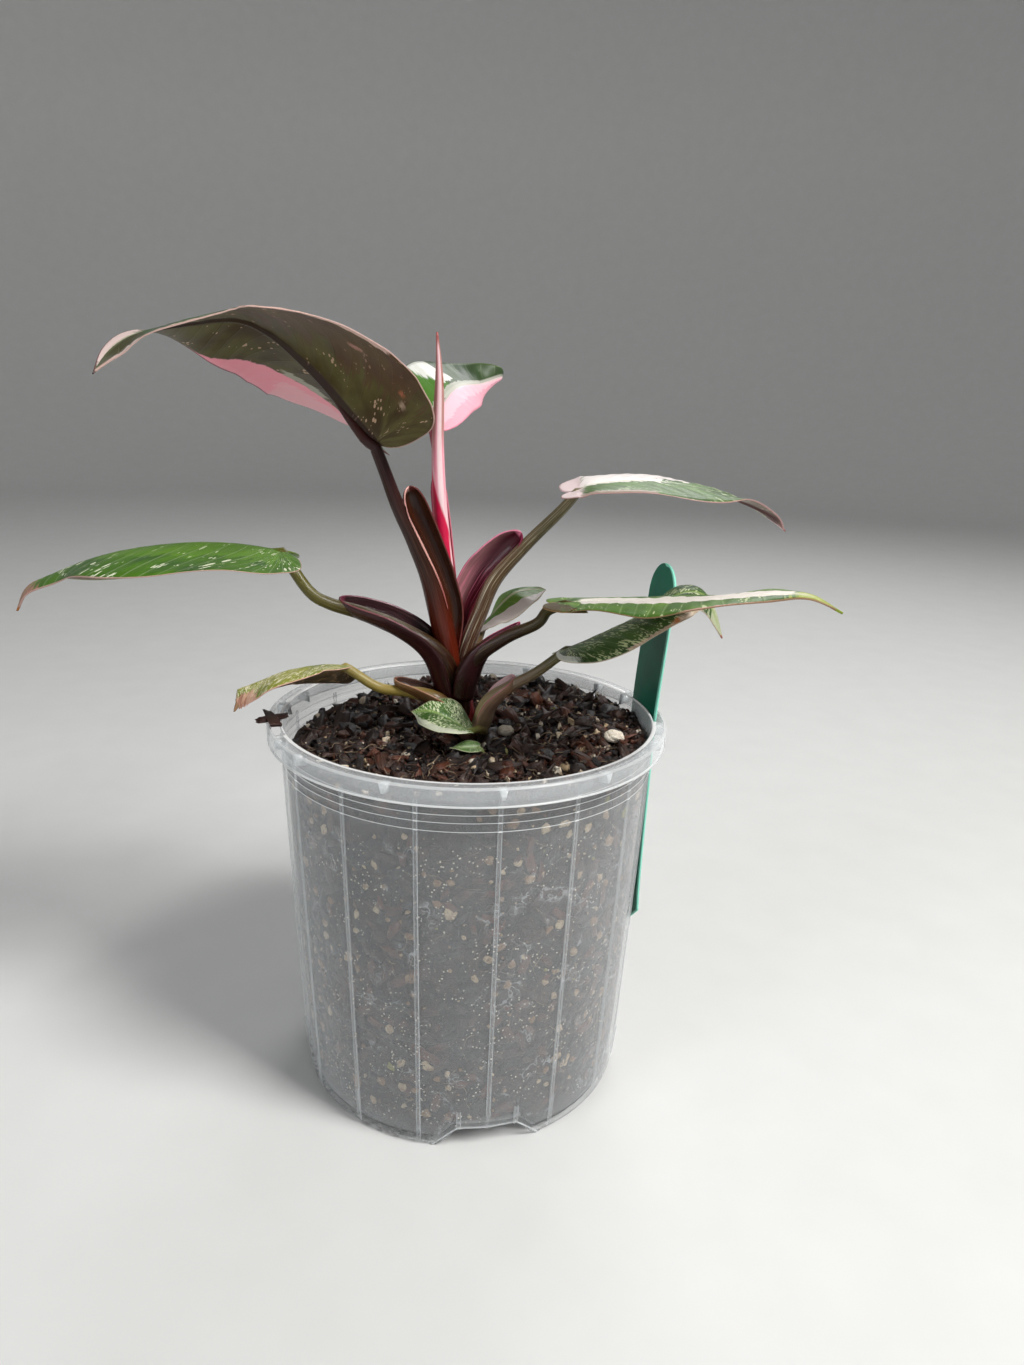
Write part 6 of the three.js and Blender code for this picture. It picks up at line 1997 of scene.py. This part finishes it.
    def roots(self) -> Piece:
        """Fine roots that wander over the inside of the wall."""
        random = np.random.default_rng(5)
        points, faces = [], []
        count = 0
        for _ in range(self.root_count):
            steps = int(random.integers(5, 16))
            a, z = random.uniform(0, 2 * np.pi), random.uniform(12, 104)
            heading = random.uniform(0, 2 * np.pi)
            thick = random.uniform(*self.root_thickness)
            places = []
            for _ in range(steps):
                places.append((a, z))
                heading += random.normal(0, 0.45)
                z = float(np.clip(z + self.root_step * math.sin(heading), 9, 105))
                a += self.root_step * math.cos(heading) / 53
            for k, (a, z) in enumerate(places):
                r = float(self.side(z)) + 0.12
                taper = thick * (1 - 0.7 * k / steps)
                centre = np.array([r * math.cos(a), r * math.sin(a), z])
                out = np.array([math.cos(a), math.sin(a), 0.0])
                flow = np.array(places[min(k + 1, steps - 1)]) - np.array(places[max(k - 1, 0)])
                along_wall = np.array([-math.sin(a) * flow[0] * 53, math.cos(a) * flow[0] * 53, flow[1]])
                across = np.cross(out, along_wall / (np.linalg.norm(along_wall) + 1e-9))
                for turn in (0.5, 2.6, 4.7):
                    points.append(centre + taper * (math.cos(turn) * out + math.sin(turn) * across))
                if k:
                    base = count + 3 * k
                    faces += [(base - 3 + j, base - 3 + (j + 1) % 3, base + (j + 1) % 3, base + j)
                              for j in range(3)]
            faces += [(count + 2, count + 1, count), tuple(count + 3 * steps - 3 + j for j in range(3))]
            count += 3 * steps
        return new_piece("soil_roots", np.array(points) * MM, faces)

    def build(self) -> None:
        """Makes the plug and strews the rest over its top and its side."""
        bark, perlite, fibre = BarkSkin().build(), PerliteSkin().build(), FibreSkin().build()
        stained = PerliteSkin("perlite_at_wall", "bfae92", "86694e", dusty=0.85, mossy="8f8c4c").build()
        adopt(self.plug(), SoilSkin().build(), "soil", "soil")
        flakes = [shard(f"flake_{k}", (6.6, 3.2 + 0.3 * (k % 3), 1.7 + 0.25 * (k % 4)), 10 + k)
                  for k in range(9)]
        bits = [shard(f"bit_{k}", (2.0, 1.3, 0.9), 40 + k, corners=9) for k in range(5)]
        grains = [shard(f"grain_{k}", (2.2, 1.9, 1.6), 60 + k, corners=11, rough=0.12) for k in range(6)]
        pebbles = [crumb(f"pebble_{k}", (1.25, 1.0, 0.9), 70 + k, rough=0.3) for k in range(5)]
        strands = [strand(f"strand_{k}", 80 + k) for k in range(5)]
        for scatter, shapes, skin, slot, reach in (
                (Scatter("soil_flakes", 2.5, (0.5, 1.55), 1.6, 0.25, 40, 0.3, 3), flakes, bark,
                 "bark", 51.5),
                (Scatter("soil_bits", 1.35, (0.5, 1.3), 1.2, 0.3, 60, 0.6, 4), bits, bark, "bark", 53.2),
                (Scatter("soil_perlite", 5.6, (0.35, 1.5), 2.2, 0.25, 90, 1.3, 5), grains, perlite,
                 "perlite", 52.0),
                (Scatter("soil_fibres", 4.2, (0.5, 1.2), 1.0, 0.2, 20, 1.5, 6), strands, fibre,
                 "soil", 49.0),
                (Scatter("wall_flakes", 4.2, (0.5, 1.2), 1.2, 0.2, 8, -0.35, 7), flakes, bark, "bark", 0),
                (Scatter("wall_perlite", 3.6, (0.14, 1.55), 4.6, 0.3, 20, -0.2, 8), pebbles, stained,
                 "perlite", 0)):
            sheet = self.top_sheet(scatter.name, reach) if reach else self.wall_sheet(scatter.name)
            piece = scatter.build(sheet, shapes, skin)
            hold_inside(piece, self.within)
            adopt(piece, skin, slot, "soil")
        adopt(self.roots(), fibre, "soil", "soil")
        for shape in (*flakes, *bits, *grains, *pebbles, *strands):
            bpy.data.objects.remove(shape)

    def within(self, z: Array) -> Array:
        """The inside of the wall at heights, less a hair's breadth."""
        return self.pot.radius(np.clip(z, 2, 116)) - self.pot.wall - 0.15


def strand(name: str, seed: int) -> Piece:
    """A short curled fibre that lies on the soil."""
    random = np.random.default_rng(seed)
    steps = np.cumsum(random.normal((1.3, 0, 0), (0.3, 0.8, 0.35), (5, 3)), axis=0)
    steps -= steps.mean(axis=0)
    return Stalk(name, tuple(map(tuple, steps)), (0.1, 0.13, 0.06), sides=4, steps=8).build()


@dataclass
class Lump:
    """One large lump of perlite that lies on the soil."""

    node: str
    at: Point
    size: Point
    seed: int

    def build(self, skin: Skin) -> None:
        """Makes the lump in place of its solid."""
        piece = crumb(f"{self.node}_rough", self.size, self.seed, detail=5, rough=0.1)
        piece.data.transform(Matrix.Translation(Vector(self.at) * MM))
        piece.data.shade_smooth()
        adopt(piece, skin, "perlite", self.node)


@dataclass
class RimChip:
    """The forked scrap of bark across the rim: two flakes, one over the other."""

    at: tuple[float, float] = (-56.9, -13.0)
    lift: float = 0.35
    arms: tuple[tuple[float, float, float, float], ...] = ((11, 3.2, 1.5, 35), (15, 4.2, 1.5, 110))

    def build(self, rim: float, skin: Skin) -> None:
        """Makes the scrap.

        Args:
            rim: the height of the rim that it lies on.
            skin: its material.
        """
        for k, (length, width, thickness, turn) in enumerate(self.arms):
            size = (length * 0.92, width * 0.85, thickness * 0.9)
            piece = shard(f"rim_chip_arm_{k + 1}", size, 91 + k, corners=26, rough=0.03)
            spot = Vector((*self.at, rim + self.lift + thickness / 2)) * MM
            piece.data.transform(Matrix.Translation(spot) @ Matrix.Rotation(math.radians(turn), 4, "Z"))
            adopt(piece, skin, "bark", "bark_chip_on_rim")


# ---- the label


@dataclass(frozen=True)
class LabelSkin:
    """Satin green sheet plastic: dark on its faces, with a painted glow along its cut edges."""

    name: str = "label_plastic"
    face: str = "067a5c"
    deep: str = "065844"
    # The colour of the painted glow along the cut edges.
    edge: str = "8fe4cc"

    def build(self) -> Skin:
        """Makes the material, which reads the label's own measures."""
        s = Shade(self.name)
        along_mm, across_mm, rim_mm = s.attribute("label")
        cloud = s.noise(s.join(along_mm * 0.06, across_mm * 0.06, 0.0), 1.0, 3.0)
        s.colour = s.mix(cloud.ramp(0.2, 0.8), self.deep, self.face)
        streak = s.noise(s.join(along_mm * 0.05, across_mm * 3.0, 1.0), 1.0, 3.0)
        s.shade(0.92 + streak * 0.16)
        # Painted glow: the cut edges turn mint over a wider band on the side where across_mm is negative.
        near = across_mm.ramp(1.0, -1.0) * 0.6
        s.over(rim_mm.ramp(near + 0.25, near + 0.05), self.edge)
        specks = s.noise(s.join(along_mm * 1.5, across_mm * 1.5, 4.0), 1.0, 2.0).ramp(0.70, 0.75)
        s.over(specks * 0.5 * along_mm.ramp(95.0, 60.0), "3a3028")
        return s.finish(0.42 + (streak - 0.5) * 0.2, streak, 0.03, Specular_IOR_Level=0.2)


@dataclass
class Label:
    """The flat stake with a round top and a pointed foot, bent a little where it passes the rim."""

    path: tuple[Point, ...] = ((55.6, 10.2, 40), (55, 10.2, 58), (55.6, 10.1, 97), (56.1, 10, 117),
                               (57.7, 9.6, 140), (59.5, 9.2, 162))
    across: Point = (-0.187, 0.982, 0)
    width: float = 20.0
    point: float = 9.0
    thickness: float = 0.8
    blunt: float = 0.8
    rows: int = 120
    columns: int = 24

    def build(self) -> None:
        """Makes the label with softly rounded edges."""
        path = Path(self.path)
        half = self.width / 2
        across = np.asarray(self.across) / np.linalg.norm(self.across)
        bend = 1 - np.cos(np.linspace(0, np.pi / 2, 24))
        straight = np.linspace(self.point, path.length - half, self.rows)[1:]
        head = path.length - half * bend[::-1][1:]
        far = np.concatenate([np.linspace(0, self.point, 16), straight, head])
        foot = half * np.minimum(1, (far + self.blunt) / self.point)
        past = np.maximum(0, (half - (path.length - far)) / half)
        wide = np.maximum(self.blunt, np.minimum(foot, half * np.sqrt(np.maximum(0, 1 - past**2))))
        out = np.sin(np.linspace(-np.pi / 2, np.pi / 2, self.columns + 1))
        points = path.at(far / path.length)[:, None] + (wide[:, None] * out)[..., None] * across
        margin = wide[:, None] * (1 - np.abs(out))
        ends = np.minimum(far, path.length - far)[:, None] + 0 * margin
        rim = np.minimum(margin, np.where(far[:, None] > path.length / 2, ends, margin))
        half_thick = self.thickness / 2 * np.sqrt(np.clip(rim / 0.3, 0.6, 1)).ravel()
        quads = grid_quads(len(far) - 1, self.columns)
        piece = closed_shell("plant_label_sheet", points.reshape(-1, 3), quads, half_thick, half_thick)
        facts = np.stack(np.broadcast_arrays(far[:, None], wide[:, None] * out, rim), axis=-1).reshape(-1, 3)
        set_attribute(piece, "label", np.vstack([facts, facts]))
        adopt(piece, LabelSkin().build(), "label_plastic", "plant_label")


# ---- stage


@dataclass
class Stage:
    """Camera, light and floor."""

    focal_px: float = 948.0
    frame_px: tuple[int, int] = (1024, 1365)
    pitch: float = -16.8
    yaw: float = 2.71
    roll: float = 1.97
    eye_mm: Point = (0.0, -275.4, 209.2)

    def camera(self) -> None:
        """Stands the camera where the whole plant is seen from a little above."""
        data = bpy.data.cameras.new("view")
        data.sensor_width = 36.0
        data.lens = data.sensor_width * self.focal_px / max(self.frame_px)
        data.clip_start = 0.01
        pitch, yaw, roll = (math.radians(a) for a in (self.pitch, self.yaw, self.roll))
        forward = Vector((math.sin(yaw) * math.cos(pitch), math.cos(yaw) * math.cos(pitch), math.sin(pitch)))
        right = forward.cross(Vector((0, 0, 1))).normalized()
        up = right.cross(forward)
        turned_right = math.cos(roll) * right + math.sin(roll) * up
        turned_up = -math.sin(roll) * right + math.cos(roll) * up
        axes = Matrix((turned_right, turned_up, -forward)).transposed()
        camera = linked(data)
        camera.matrix_world = Matrix.Translation(Vector(self.eye_mm) * MM) @ axes.to_4x4()
        bpy.context.scene.camera = camera

    def softbox(self, name: str, place: Point, size: float, power: float,
                colour: Colour = (1, 1, 1)) -> None:
        """Hangs a square area light that looks at the plant.

        Args:
            name: the light's name.
            place: where it hangs, in metres.
            size: its side, in metres.
            power: its power in watts.
            colour: its colour.
        """
        data = bpy.data.lights.new(name, "AREA")
        data.shape = "SQUARE"
        data.size = size
        data.energy = power
        data.color = colour
        aim = Vector((0, 0, 0.12)) - Vector(place)
        turn = aim.to_track_quat("-Z", "Y").to_matrix().to_4x4()
        linked(data).matrix_world = Matrix.Translation(place) @ turn

    def build(self) -> None:
        """Sets the whole stage."""
        self.camera()
        self.softbox("key", (0.65, -0.45, 1.0), 0.36, 15.5, (1.0, 0.99, 0.97))
        self.softbox("fill", (-0.9, -0.7, 0.5), 0.5, 4.0, (0.95, 0.98, 1.0))
        self.softbox("back", (0.3, 0.9, 0.9), 0.5, 3.0)
        world = bpy.data.worlds.new("studio")
        world.use_nodes = True
        background = world.node_tree.nodes["Background"]
        background.inputs["Color"].default_value = (0.80, 0.82, 0.84, 1)
        background.inputs["Strength"].default_value = 0.18
        bpy.context.scene.world = world
        bpy.context.scene.view_settings.view_transform = "Standard"
        self.floor()

    def floor(self) -> None:
        """Lays a plain pale floor under the pot."""
        s = Shade("floor")
        grain = s.noise(s.place(), 40.0, 4.0)
        s.colour = s.mix(grain, (0.72, 0.72, 0.71), (0.78, 0.78, 0.77))
        turns, low = 96, -0.0002
        bend = np.radians(np.linspace(0, 90, 19))
        section = [(0.001, low), (0.5, low), (1.2, low)]
        section += [(1.8 + 0.9 * math.sin(b), low + 0.9 * (1 - math.cos(b))) for b in bend] + [(2.7, 2.2)]
        angle = np.arange(turns) * 2 * np.pi / turns
        points = np.array([(r * math.cos(a), r * math.sin(a), z) for r, z in section for a in angle])
        floor = new_piece("floor", points, grid_quads(len(section) - 1, turns, wrap=True)[:, ::-1])
        floor.data.materials.append(s.finish(0.55, grain, 0.05))


def main() -> None:
    """Builds the stage and the plant in order."""
    logging.basicConfig(level=logging.INFO, format="%(name)s %(message)s")
    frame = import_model()
    LOG.info("%d solids", len(frame["nodes"]))
    Stage().build()
    pot = Pot()
    pot.build()
    SoilBed(pot).build()
    Label().build()
    bark = BarkSkin("bark_on_rim", "3a2018", "5a3222", "6b3e2a").build()
    perlite = PerliteSkin("perlite_lumps", dusty=0.6).build()
    RimChip().build(pot.height, bark)
    Lump("perlite_lump_right", (43.5, -11, 113.2), (3, 2.3, 1.9), 11).build(perlite)
    Lump("perlite_lump_middle", (11.4, -3, 111.5), (2.5, 2, 1.7), 12).build(perlite)
    Crown().build()
    for leaf in LEAVES:
        leaf.build()
    bpy.context.view_layer.update()


if __name__ == "__main__":
    main()
